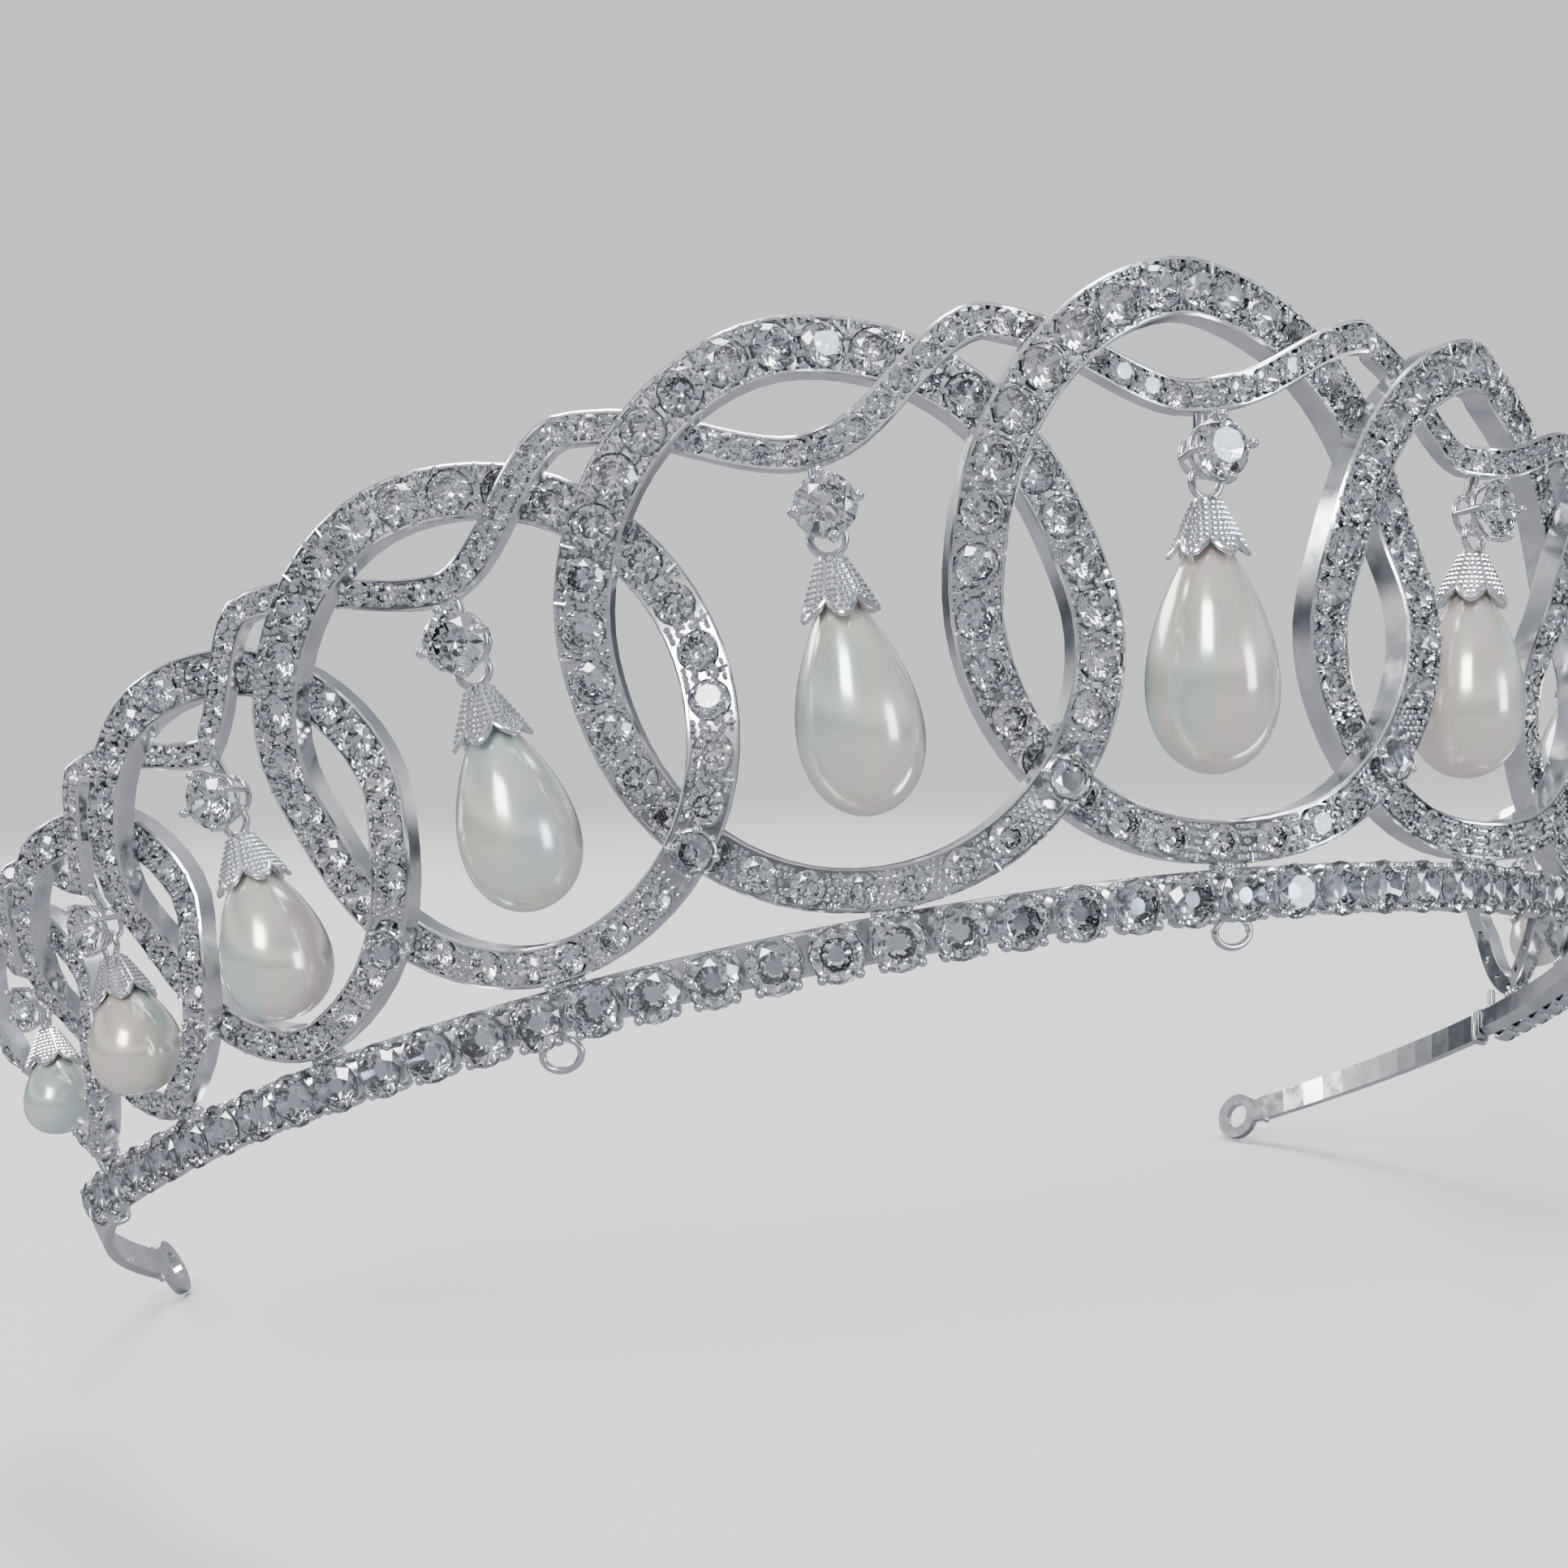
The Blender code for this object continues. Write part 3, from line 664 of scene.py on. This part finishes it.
def bar_ticks(shells, bar, pitch, skipped):
    """Short bright bars from the outer rim in between neighbouring stones."""
    cells, cell = bar_cells(bar, pitch)
    for number in range(cells):
        distance = number * cell
        path = [bar.point(distance, share, bar.depth / 2 - TICK_SUNK) for share in TICK_SHARES]
        if all(np.linalg.norm(path[1] - place) > gap for place, gap in skipped):
            shells.add(*tube(path, TICK_RADIUS, 8, flat_normal=bar.axes(distance)[2]))


def weave(turn):
    """Over and under: -1 to 1 round the oval, nearly level where the bars cross."""
    return -np.tanh(WEAVE_SHARPNESS * np.sin(2 * turn)) / math.tanh(WEAVE_SHARPNESS)


def ring_bar(along, height):
    """The bar of one oval, bent over and under its neighbours."""
    scale = face_scale(height)
    half_height = height / 2
    half_width = RING_WIDTH_RATIO * half_height
    depth = RING_DEPTH * scale
    turn = np.linspace(0, 2 * np.pi, 721)
    inner_half_width = half_width - RING_SIDE_FACE * scale
    inner_half_height = half_height - (RING_TOP_FACE + RING_BOTTOM_FACE) / 2 * scale
    inner_centre = RING_FOOT + half_height - (RING_TOP_FACE - RING_BOTTOM_FACE) / 2 * scale
    edges = []
    for across, level in (
            (inner_half_width * np.cos(turn), inner_centre + inner_half_height * np.sin(turn)),
            (half_width * np.cos(turn), RING_FOOT + half_height * (1 + np.sin(turn)))):
        edges.append(np.column_stack([along + across / stretch(level), level]))
    lift = (depth + WEAVE_GAP) / 2 * weave(turn)
    return Bar(edges[0], edges[1], lift, depth, closed=True)


def outer_edge(across, height, side):
    """Height of an oval's upper (side 1) or lower (side -1) outer edge at a distance across."""
    half_width = RING_WIDTH_RATIO * height / 2
    return RING_FOOT + height / 2 * (1 + side * math.sqrt(max(0.0, 1 - (across / half_width) ** 2)))


def crossing(along, height, next_along, next_height, side, level_share):
    """Where the outer edges of two neighbouring ovals cross, found by halving."""
    low, high = along, next_along
    stretched = stretch(level_share * height)
    for _ in range(30):
        middle = (low + high) / 2
        near = outer_edge((middle - along) * stretched, height, side)
        far = outer_edge((next_along - middle) * stretched, next_height, side)
        if side * (near - far) > 0:
            low = middle
        else:
            high = middle
    return middle, near


def ribbon_bar(rings):
    """The waved ribbon, under each oval's left shoulder and over its right one."""
    end_height = rings[0][2]
    reach = RING_SPACING * end_height
    troughs = [(rings[0][1] - reach, end_height)]
    troughs += [(along, height) for _, along, height in rings]
    troughs.append((rings[-1][1] + reach, end_height))
    share = np.linspace(0, 1, 60, endpoint=False)
    rows = []
    for (along, height), (next_along, next_height) in zip(troughs, troughs[1:]):
        peak_along, level = crossing(along, height, next_along, next_height, 1, 0.9)
        scale, next_scale = face_scale(height), face_scale(next_height)
        peak = level + RIBBON_WIDTH * (scale + next_scale) / 4 + RIBBON_CLEAR
        for start, foot, size, sign in (
                (along, height, scale, 1), (next_along, next_height, next_scale, -1)):
            trough = RING_FOOT + RIBBON_TROUGH * foot
            rise = (1 - np.cos(np.pi * share)) / 2
            place = start + (peak_along - start) * share
            up = trough + (peak - trough) * rise
            lift = sign * RIBBON_RISE * np.tanh(4 * np.sin(np.pi * share))
            width = RIBBON_WIDTH * (size + ((scale + next_scale) / 2 - size) * rise)
            half = np.column_stack([place, up, lift, width])
            rows.append(half if sign > 0 else half[:0:-1])
            if sign > 0:
                rows.append([[peak_along, peak, 0.0, RIBBON_WIDTH * (scale + next_scale) / 2]])
    rows = np.concatenate(rows)
    start, end = rings[0][1] - RIBBON_START, rings[-1][1] + RIBBON_END
    rows = rows[(rows[:, 0] > start) & (rows[:, 0] < end)]
    place, level, lift, width = rows.T
    run = np.gradient(place) * stretch(level)
    rise = np.gradient(level)
    length = np.hypot(run, rise)
    edges = []
    for edge in (1, -1):
        across = -edge * width / 2 * rise / length / stretch(level)
        edges.append(np.column_stack([place + across, level + edge * width / 2 * run / length]))
    depth = RIBBON_DEPTH * face_scale(float(np.mean([height for _, _, height in rings])))
    return Bar(edges[0], edges[1], lift, depth, closed=False)


def lower_junctions(rings):
    """World place, axes and scale of the larger stone where each two ovals cross low down."""
    made = []
    for (_, along, height), (_, next_along, next_height) in zip(rings, rings[1:]):
        middle, level = crossing(along, height, next_along, next_height, -1, 0.2)
        scale = face_scale(min(height, next_height))
        up = level + RING_BOTTOM_FACE * scale * 0.62
        out = (RING_DEPTH * scale + WEAVE_GAP) / 2 + RING_DEPTH * scale / 2
        made.append((wall(middle, up, out), wall_axes(middle), scale))
    return made


def make_rings(rings, junctions):
    """Every oval: its metal with bead prongs, and its stones."""
    skipped = [(place, JUNCTION_STONE_RADIUS * scale + JUNCTION_CLEAR) for place, _, scale in junctions]
    for index, along, height in rings:
        name = side_name(index)
        bar = ring_bar(along, height)
        metal, stones = Shells(), Shells()
        bar_frame(metal, bar, RING_STONE_PITCH, SEAT_SHARE)
        centres = bar_stones(stones, bar, RING_STONE_PITCH, RING_STONE_SHARE, skipped)
        bar_beads(metal, bar, centres, skipped)
        bar_ticks(metal, bar, RING_STONE_PITCH, skipped)
        ring = metal.make("ring_metal_" + name, BEADED, 35.0)
        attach(ring, "tiara")
        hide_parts("ring_" + name)
        pave = stones.make("ring_stones_" + name, CRYSTAL, 0.0)
        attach(pave, "tiara")


def make_ribbon(rings):
    """The waved ribbon with its smaller stones."""
    bar = ribbon_bar(rings)
    metal, stones = Shells(), Shells()
    bar_frame(metal, bar, RIBBON_STONE_PITCH, SEAT_SHARE)
    centres = bar_stones(stones, bar, RIBBON_STONE_PITCH, RIBBON_STONE_SHARE, [])
    bar_beads(metal, bar, centres, [])
    ribbon = metal.make("ribbon_metal", BEADED, 35.0)
    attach(ribbon, "tiara")
    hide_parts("ribbon")
    pave = stones.make("ribbon_stones", CRYSTAL, 0.0)
    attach(pave, "tiara")


def collar(shells, origin, axes, radius, back, front, wall_thickness):
    """Short open tube round a stone."""
    profile = [(radius, back), (radius + wall_thickness * 0.6, back),
               (radius + wall_thickness, front - 0.08), (radius + wall_thickness * 0.7, front),
               (radius, front)]
    steps = 20
    turns = 2 * np.pi * np.arange(steps) / steps
    points = [[reach * math.cos(turn), reach * math.sin(turn), out]
              for turn in turns for reach, out in profile]
    faces = tube_faces(steps, len(profile), closed=True)
    shells.place((np.array(points), faces), origin, axes, 1.0)


def make_junctions(junctions):
    """Larger stones where the ovals cross above the band."""
    metal, stones = Shells(), Shells()
    for place, axes, scale in junctions:
        tangent, up, outward = axes
        radius = JUNCTION_STONE_RADIUS * scale
        collar(metal, place, axes, radius * 0.86, -0.5, 0.18, 0.34)
        stones.place(BRILLIANT, place + 0.22 * outward, tilted(axes, 0.02), radius)
        for eighth in range(8):
            turn = math.pi / 4 * (eighth + 0.5)
            spoke = tangent * math.cos(turn) + up * math.sin(turn)
            size = 0.30 if eighth % 2 else 0.22
            metal.place(TIP, place + spoke * (radius + 0.1) + 0.25 * outward, axes, size)
    setting = metal.make("junction_settings", BEADED, 40.0)
    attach(setting, "tiara")
    gems = stones.make("junction_stones", CRYSTAL, 0.0)
    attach(gems, "tiara")


# ---------------------------------------------------------------- band

def band_rail(shells):
    """Rail behind the band's stones, with soft edges and an underside that rises at the back."""
    back_bottom = RAIL_BOTTOM - BAND_BACK * math.tan(WALL_LEAN)
    corners = [
        (RAIL_BOTTOM + RAIL_SOFT, 0.0), (BAND_TOP - RAIL_SOFT, 0.0), (BAND_TOP, -RAIL_SOFT),
        (BAND_TOP, BAND_BACK + RAIL_SOFT), (BAND_TOP - RAIL_SOFT, BAND_BACK),
        (back_bottom + RAIL_SOFT, BAND_BACK), (back_bottom, BAND_BACK + RAIL_SOFT),
        (RAIL_BOTTOM, -RAIL_SOFT)]
    along = np.linspace(-BAND_END, BAND_END, RAIL_STEPS + 1)
    rows = np.stack([wall(along, height, out) for height, out in corners], axis=1)
    shells.add(rows, tube_faces(RAIL_STEPS + 1, len(corners), closed=False))


def band_posts(shells, rings):
    """Round posts that carry the last ovals' outer halves."""
    _, along, height = rings[-1]
    top = outer_edge(POST_ALONG - along, height, -1) + 0.2
    for sign in (-1, 1):
        path = [wall(sign * POST_ALONG, level, -0.8) for level in np.linspace(BAND_TOP - 0.3, top, 4)]
        shells.add(*tube(path, POST_RADIUS, 12, flat_normal=wall_axes(sign * POST_ALONG)[2]))


def hairpin_loops(shells):
    """Small oval wire loops under the band, each on a stud."""
    for along in HAIRPIN_ALONGS:
        tangent, up, outward = wall_axes(along)
        centre = wall(along, BAND_BOTTOM - HAIRPIN_DROP, BAND_BACK + HAIRPIN_INSET)
        turns = np.linspace(0, 2 * np.pi, 32, endpoint=False)[:, None]
        path = centre + HAIRPIN_HALF_WIDTH * np.cos(turns) * tangent
        path = path + HAIRPIN_HALF_HEIGHT * np.sin(turns) * up
        shells.add(*tube(path, HAIRPIN_WIRE_RADIUS, 10, closed=True, flat_normal=outward))
        top = centre + HAIRPIN_HALF_HEIGHT * up
        shells.add(*tube([top, top + 0.4 * up, top + 0.8 * up], STUD_RADIUS, 10, flat_normal=outward))


def ring_contacts(shells, rings):
    """Solder beads between the rail and the foot of each oval."""
    for _, along, _ in rings:
        for shift in CONTACT_SHIFTS:
            contact = wall(along + shift, BAND_TOP + 0.15, BAND_BACK / 2)
            shells.place(TIP, contact, np.array(wall_axes(along)), CONTACT_RADIUS)


def make_band(rings):
    """Rail, cups, prongs and the row of brilliants."""
    metal, stones = Shells(), Shells()
    band_rail(metal)
    band_posts(metal, rings)
    hairpin_loops(metal)
    ring_contacts(metal, rings)
    count = int(BAND_END // BAND_STONE_PITCH)
    for number in range(-count, count + 1):
        along = number * BAND_STONE_PITCH
        axes = np.array(wall_axes(along))
        seat = wall(along, 0.0, BAND_SEAT_OUT)
        collar(metal, seat, axes, BAND_STONE_RADIUS * 0.8, -1.1, 0.12, 0.36)
        stones.place(BRILLIANT, seat + 0.2 * axes[2], tilted(axes, 0.035), BAND_STONE_RADIUS)
        for side in (-1, 1):
            for level in (-BAND_PRONG_HEIGHT, BAND_PRONG_HEIGHT):
                spot = along + side * BAND_PRONG_ASIDE
                foot, head = wall(spot, level * 0.93, 0.1), wall(spot, level, 1.35)
                bend = (foot + head) / 2 + 0.12 * np.sign(level) * axes[1]
                metal.add(*tube([foot, bend, head], BAND_PRONG_RADII, 8, flat_normal=axes[0]))
                metal.place(TIP, head, axes, BAND_TIP_RADIUS)
    band = metal.make("band_metal", BEADED, 40.0)
    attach(band, "tiara")
    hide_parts("base_band")
    gems = stones.make("band_brilliants", CRYSTAL, 0.0)
    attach(gems, "tiara")
    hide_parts("band_stones")


def make_strap_fittings():
    """Wire bracket round each strap where it meets the band, and two nubs beside each eyelet."""
    metal = Shells()
    for side in (-1, 1):
        along = side * (BAND_END + BRACKET_ALONG)
        half_height = STRAP_HEIGHT / 2 + BRACKET_CLEAR
        reach = STRAP_DEPTH / 2 + BRACKET_CLEAR
        tangent, up, outward = wall_axes(along)
        centre = wall(along, 0.0, STRAP_OUT)
        turns = np.linspace(0, 2 * np.pi, 40, endpoint=False)[:, None]
        path = centre + half_height * rounded(np.sin(turns)) * up
        path = path + reach * rounded(np.cos(turns)) * outward
        metal.add(*tube(path, BRACKET_RADIUS, 10, closed=True, flat_normal=tangent))
        nub = side * (EYELET_ALONG - EYELET_RADIUS - NUB_ASIDE)
        for level in (-1, 1):
            spot = wall(nub, level * (STRAP_HEIGHT / 2 + 0.1), STRAP_OUT)
            metal.place(TIP, spot, np.eye(3), NUB_RADIUS)
    fittings = metal.make("strap_fittings", POLISHED, 40.0)
    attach(fittings, "tiara")


def rounded(wave):
    """Square a circle's sine or cosine off towards a rounded rectangle."""
    return np.sign(wave) * np.abs(wave) ** 0.45


def finish_straps():
    """The CAD straps keep their shape, with softened edges and a polished plate."""
    for side in ("left", "right"):
        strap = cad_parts["end_strap_" + side]
        soften = strap.modifiers.new("soften", "BEVEL")
        soften.width = 0.12 * MM
        soften.segments = 2
        soften.limit_method = "ANGLE"
        soften.angle_limit = math.radians(35.0)
        soften.harden_normals = True
        strap.data.materials.clear()
        strap.data.materials.append(POLISHED)


# ---------------------------------------------------------------- drops

def setting_level(index, height):
    """Heights on the wall of a drop's stone and of the ribbon's lower edge above it."""
    radius = DROP_STONE_RADII[abs(index)]
    edge = RING_FOOT + RIBBON_TROUGH * height - RIBBON_WIDTH * face_scale(height) / 2
    return edge - radius - SETTING_DROP, edge


def make_setting(index, along, height):
    """Four-claw basket with two gallery wires and a bar up to the ribbon, and its brilliant."""
    name = side_name(index)
    radius = DROP_STONE_RADII[abs(index)]
    scale = radius / STANDARD_STONE
    level, edge = setting_level(index, height)
    axes = np.array(wall_axes(along))
    tangent, up, outward = axes
    centre = wall(along, level, 0.0)
    metal, stones = Shells(), Shells()
    turns = np.linspace(0, 2 * np.pi, 36, endpoint=False)[:, None]
    spokes = np.cos(turns) * tangent + np.sin(turns) * up
    for reach, out, wire in GALLERY_WIRES:
        path = centre + (reach * spokes + out * outward) * scale
        metal.add(*tube(path, wire * scale, 10, closed=True, flat_normal=outward))
    for quarter in range(4):
        turn = PRONG_TURN + math.pi / 2 * quarter
        spoke = tangent * math.cos(turn) + up * math.sin(turn)
        across = np.cross(outward, spoke)
        path = [centre + (reach * spoke + out * outward) * scale for reach, out in CLAW_PATH]
        metal.add(*tube(path, [wire * scale for wire in CLAW_RADII], 10, flat_normal=across))
        metal.place(TIP, path[-1], axes, CLAW_TIP_RADIUS * scale)
    bar = [wall(along, level + (radius + 0.1 - 0.5) * 0.75, -0.6),
           wall(along, level + radius * 0.9, -0.35), wall(along, edge + 0.3, -0.15)]
    metal.add(*tube(bar, [wire * scale for wire in HANGER_RADII], 12, flat_normal=tangent))
    setting = metal.make("setting_metal_" + name, POLISHED, 40.0)
    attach(setting, "tiara")
    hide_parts("setting_" + name)
    stones.place(BRILLIANT, centre + DROP_STONE_OUT * scale * outward, tilted(axes, 0.02), 1.05 * radius)
    gem = stones.make("brilliant_" + name, CRYSTAL, 0.0)
    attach(gem, "tiara")
    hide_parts("stone_" + name)


def drop_frame(index, along, height):
    """Hinge of a drop, and its axes: along the hinge, forward and up the hanging line."""
    radius = DROP_STONE_RADII[abs(index)]
    level = setting_level(index, height)[0] - HINGE_BELOW_STONE * radius / STANDARD_STONE
    tangent = wall_axes(along)[0]
    plumb = np.array([0.0, 0.0, 1.0])
    up = unit(plumb - tangent * plumb.dot(tangent))
    return wall(along, level, 0.0), np.array([tangent, np.cross(up, tangent), up])


def cap_radius(share):
    """Bell outline of a cap: radius at a share of the way down to the petal tips."""
    return np.interp(share, CAP_SHARES, CAP_RADII)


def cap_bell(shells, top, scale):
    """Thin bell whose lower edge is cut into flared, pointed petals, with bright rims."""
    steps = PETALS * 16
    turns = 2 * np.pi * np.arange(steps) / steps
    place = np.abs((turns * PETALS / (2 * np.pi)) % 1.0 - 0.5) * 2
    reach = 1.0 - PETAL_CUT * place ** PETAL_POINT
    rows = []
    shares = np.linspace(0, 1, 14)
    for inside in (False, True):
        for share in (shares if not inside else shares[::-1]):
            down = share * reach
            radius = cap_radius(down) - PETAL_DISH * (place ** 2) * share - (CAP_WALL if inside else 0.0)
            height = -CAP_LENGTH * down - (CAP_CEILING if inside and share < 0.05 else 0.0)
            rows.append(np.column_stack([radius * np.cos(turns), radius * np.sin(turns), height]))
    body = np.stack(rows, axis=1) * scale
    body[..., 2] -= top
    shells.add(body, tube_faces(steps, len(rows), closed=True))
    shells.place(lathe(CAP_LID, 24), (0.0, 0.0, -top), np.eye(3), scale)
    edge_radius = cap_radius(reach) - PETAL_DISH * place ** 2 - 0.08
    rim = np.column_stack([edge_radius * np.cos(turns), edge_radius * np.sin(turns), -CAP_LENGTH * reach])
    path = rim * scale - [0, 0, top]
    shells.add(*tube(path, PETAL_RIM * scale, 8, closed=True, flat_normal=(0, 0, 1)))


def cap_beads(shells, top, scale):
    """Rows of beads that cover each petal as far as its rim."""
    for petal in range(PETALS):
        for row in range(1, 10):
            down = row / CAP_BEAD_ROWS
            arc = 0.9 * 2 * math.pi * float(cap_radius(down)) / PETALS
            columns = max(2, round(arc / CAP_BEAD_PITCH))
            for column in range(columns):
                spot = ((column + 0.5) / columns - 0.5) * 0.9
                limit = 1.0 - PETAL_CUT * abs(2 * spot) ** PETAL_POINT
                if down > limit - 0.1:
                    continue
                turn = 2 * np.pi * (petal + 0.5 + spot) / PETALS
                radius = float(cap_radius(down)) - PETAL_DISH * (2 * spot) ** 2 * down
                centre = np.array([radius * math.cos(turn), radius * math.sin(turn), -CAP_LENGTH * down])
                shells.add((centre * scale - [0, 0, top]) + BEAD[0] * CAP_BEAD_RADIUS * scale, BEAD[1])


def pearl_profile(index, top):
    """Teardrop outline, fullest below its middle."""
    scale = CAP_SCALES[abs(index)]
    start = top + 1.1 * scale + GAP
    bottom = DROP_LENGTHS[abs(index)] + LOOP_MID_RADIUS * DROP_STONE_RADII[abs(index)] / STANDARD_STONE
    profile = []
    for turn in np.linspace(0, math.pi, 41):
        radius = math.sin(turn) * math.sin(turn / 2) ** 0.9 / PEARL_FULLEST * PEARL_RADII[abs(index)]
        profile.append((radius, -start - (bottom - start) * (1 - math.cos(turn)) / 2))
    return profile


def make_drop(index, along, height):
    """Loop, petalled cap and teardrop pearl, which swing together on one body."""
    name = side_name(index)
    hinge, axes = drop_frame(index, along, height)
    loop_scale = DROP_STONE_RADII[abs(index)] / STANDARD_STONE
    scale = CAP_SCALES[abs(index)]
    top = (2 * LOOP_MID_RADIUS + LOOP_WIRE_RADIUS) * loop_scale - LOOP_SUNK
    cap, pearl = Shells(), Shells()
    radius = LOOP_MID_RADIUS * loop_scale
    turns = np.linspace(0, 2 * np.pi, 40, endpoint=False)
    path = np.column_stack([radius * np.sin(turns), 0 * turns, radius * np.cos(turns) - radius])
    cap.add(*tube(path, LOOP_WIRE_RADIUS * loop_scale, 12, closed=True, flat_normal=(0, 1, 0)))
    cap_bell(cap, top, scale)
    cap_beads(cap, top, scale)
    cap.points = [hinge + points @ axes for points in cap.points]
    bell = cap.make("cap_metal_" + name, BEADED, 40.0)
    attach(bell, "drop_" + name)
    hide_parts("drop_cap_" + name)
    pearl.place(lathe(pearl_profile(index, top), 64), hinge, axes, 1.0)
    gem = pearl.make("pearl_" + name, NACRE, 180.0)
    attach(gem, "drop_" + name)
    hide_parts("drop_pearl_" + name)


# ---------------------------------------------------------------- studio

def mirrored_or(tree, shown, mirrored):
    """One colour seen directly, and another seen mirrored in or refracted by metal and stones."""
    path = tree.nodes.new("ShaderNodeLightPath")
    either = tree.nodes.new("ShaderNodeMath")
    either.operation = "MAXIMUM"
    tree.links.new(path.outputs["Is Glossy Ray"], either.inputs[0])
    tree.links.new(path.outputs["Is Transmission Ray"], either.inputs[1])
    mix = tree.nodes.new("ShaderNodeMix")
    mix.data_type = "RGBA"
    tree.links.new(either.outputs["Value"], mix.inputs["Factor"])
    for source, socket in ((shown, mix.inputs["A"]), (mirrored, mix.inputs["B"])):
        if isinstance(source, tuple):
            socket.default_value = (*source, 1.0)
        else:
            tree.links.new(source, socket)
    return mix.outputs["Result"]


def make_floor():
    """Plain pale floor just under the tiara's lowest point, which fades into the backdrop far out."""
    level = CAD_BOX[0][2] - FLOOR_BELOW * MM
    mesh = bpy.data.meshes.new("floor")
    signs = [(-1, -1), (1, -1), (1, 1), (-1, 1)]
    mesh.from_pydata([(x * FLOOR_REACH, y * FLOOR_REACH, level) for x, y in signs], [], [(0, 1, 2, 3)])
    material, tree, shader, where = new_material("floor_paper")
    shade = colour_ramp(tree, noise(tree, where, 3.0), [(0.3, FLOOR_DARK), (0.7, FLOOR_LIGHT)])
    tree.links.new(mirrored_or(tree, shade, FLOOR_MIRRORED), shader.inputs["Base Color"])
    shader.inputs["Roughness"].default_value = 0.9
    shader.inputs["Specular IOR Level"].default_value = 0.0
    distance = tree.nodes.new("ShaderNodeVectorMath")
    distance.operation = "LENGTH"
    tree.links.new(where, distance.inputs[0])
    fade = remap(tree, distance.outputs["Value"], 0.0, 1.0, *FLOOR_FADE)
    fade.node.interpolation_type = "SMOOTHSTEP"
    glow = tree.nodes.new("ShaderNodeEmission")
    tree.links.new(mirrored_or(tree, BACKDROP, FLOOR_MIRRORED), glow.inputs["Color"])
    mix = tree.nodes.new("ShaderNodeMixShader")
    tree.links.new(fade, mix.inputs["Fac"])
    tree.links.new(shader.outputs["BSDF"], mix.inputs[1])
    tree.links.new(glow.outputs["Emission"], mix.inputs[2])
    tree.links.new(mix.outputs["Shader"], tree.nodes["Material Output"].inputs["Surface"])
    mesh.materials.append(material)
    floor = bpy.data.objects.new("floor", mesh)
    bpy.context.scene.collection.objects.link(floor)


def make_world():
    """Pale backdrop and ambient light, and a darker studio with a bright sky for reflections."""
    world = bpy.data.worlds.new("studio")
    bpy.context.scene.world = world
    world.use_nodes = True
    tree = world.node_tree
    background = tree.nodes["Background"]
    where = tree.nodes.new("ShaderNodeTexCoord").outputs["Generated"]
    parts = tree.nodes.new("ShaderNodeSeparateXYZ")
    tree.links.new(where, parts.inputs["Vector"])
    bands = colour_ramp(tree, remap(tree, parts.outputs["Z"], 0.0, 1.0, -1.0, 1.0), SKY)
    tree.links.new(mirrored_or(tree, BACKDROP, bands), background.inputs["Color"])


def add_softbox(name, place, size, power, colour):
    """Rectangular soft light that faces the tiara."""
    light = bpy.data.lights.new(name, "AREA")
    light.shape = "RECTANGLE"
    light.size, light.size_y = size
    light.energy = power
    light.color = colour
    lamp = bpy.data.objects.new(name, light)
    lamp.location = place
    lamp.rotation_euler = (Vector(LAMP_TARGET) - Vector(place)).to_track_quat("-Z", "Y").to_euler()
    bpy.context.scene.collection.objects.link(lamp)


def make_camera():
    """Camera low in front of the tiara and to its left."""
    camera = bpy.data.cameras.new("camera")
    camera.sensor_width = 36.0
    camera.lens = CAMERA_LENS
    camera.clip_start = 0.01
    view = bpy.data.objects.new("camera", camera)
    forward = Vector(CAMERA_FORWARD).normalized()
    right = Vector(CAMERA_RIGHT).normalized()
    up = right.cross(forward).normalized()
    right = forward.cross(up)
    turned = Matrix((right, up, -forward)).transposed().to_4x4()
    view.matrix_world = Matrix.Translation(Vector(CAMERA_PLACE) * MM) @ turned
    bpy.context.scene.collection.objects.link(view)
    bpy.context.scene.camera = view


def main():
    rings = ring_layout()
    junctions = lower_junctions(rings)
    make_rings(rings, junctions)
    make_ribbon(rings)
    make_junctions(junctions)
    make_band(rings)
    make_strap_fittings()
    finish_straps()
    for index, along, height in rings:
        make_setting(index, along, height)
        make_drop(index, along, height)
    make_floor()
    make_world()
    for name, place, size, power, colour in LAMPS:
        add_softbox(name, place, size, power, colour)
    make_camera()


main()
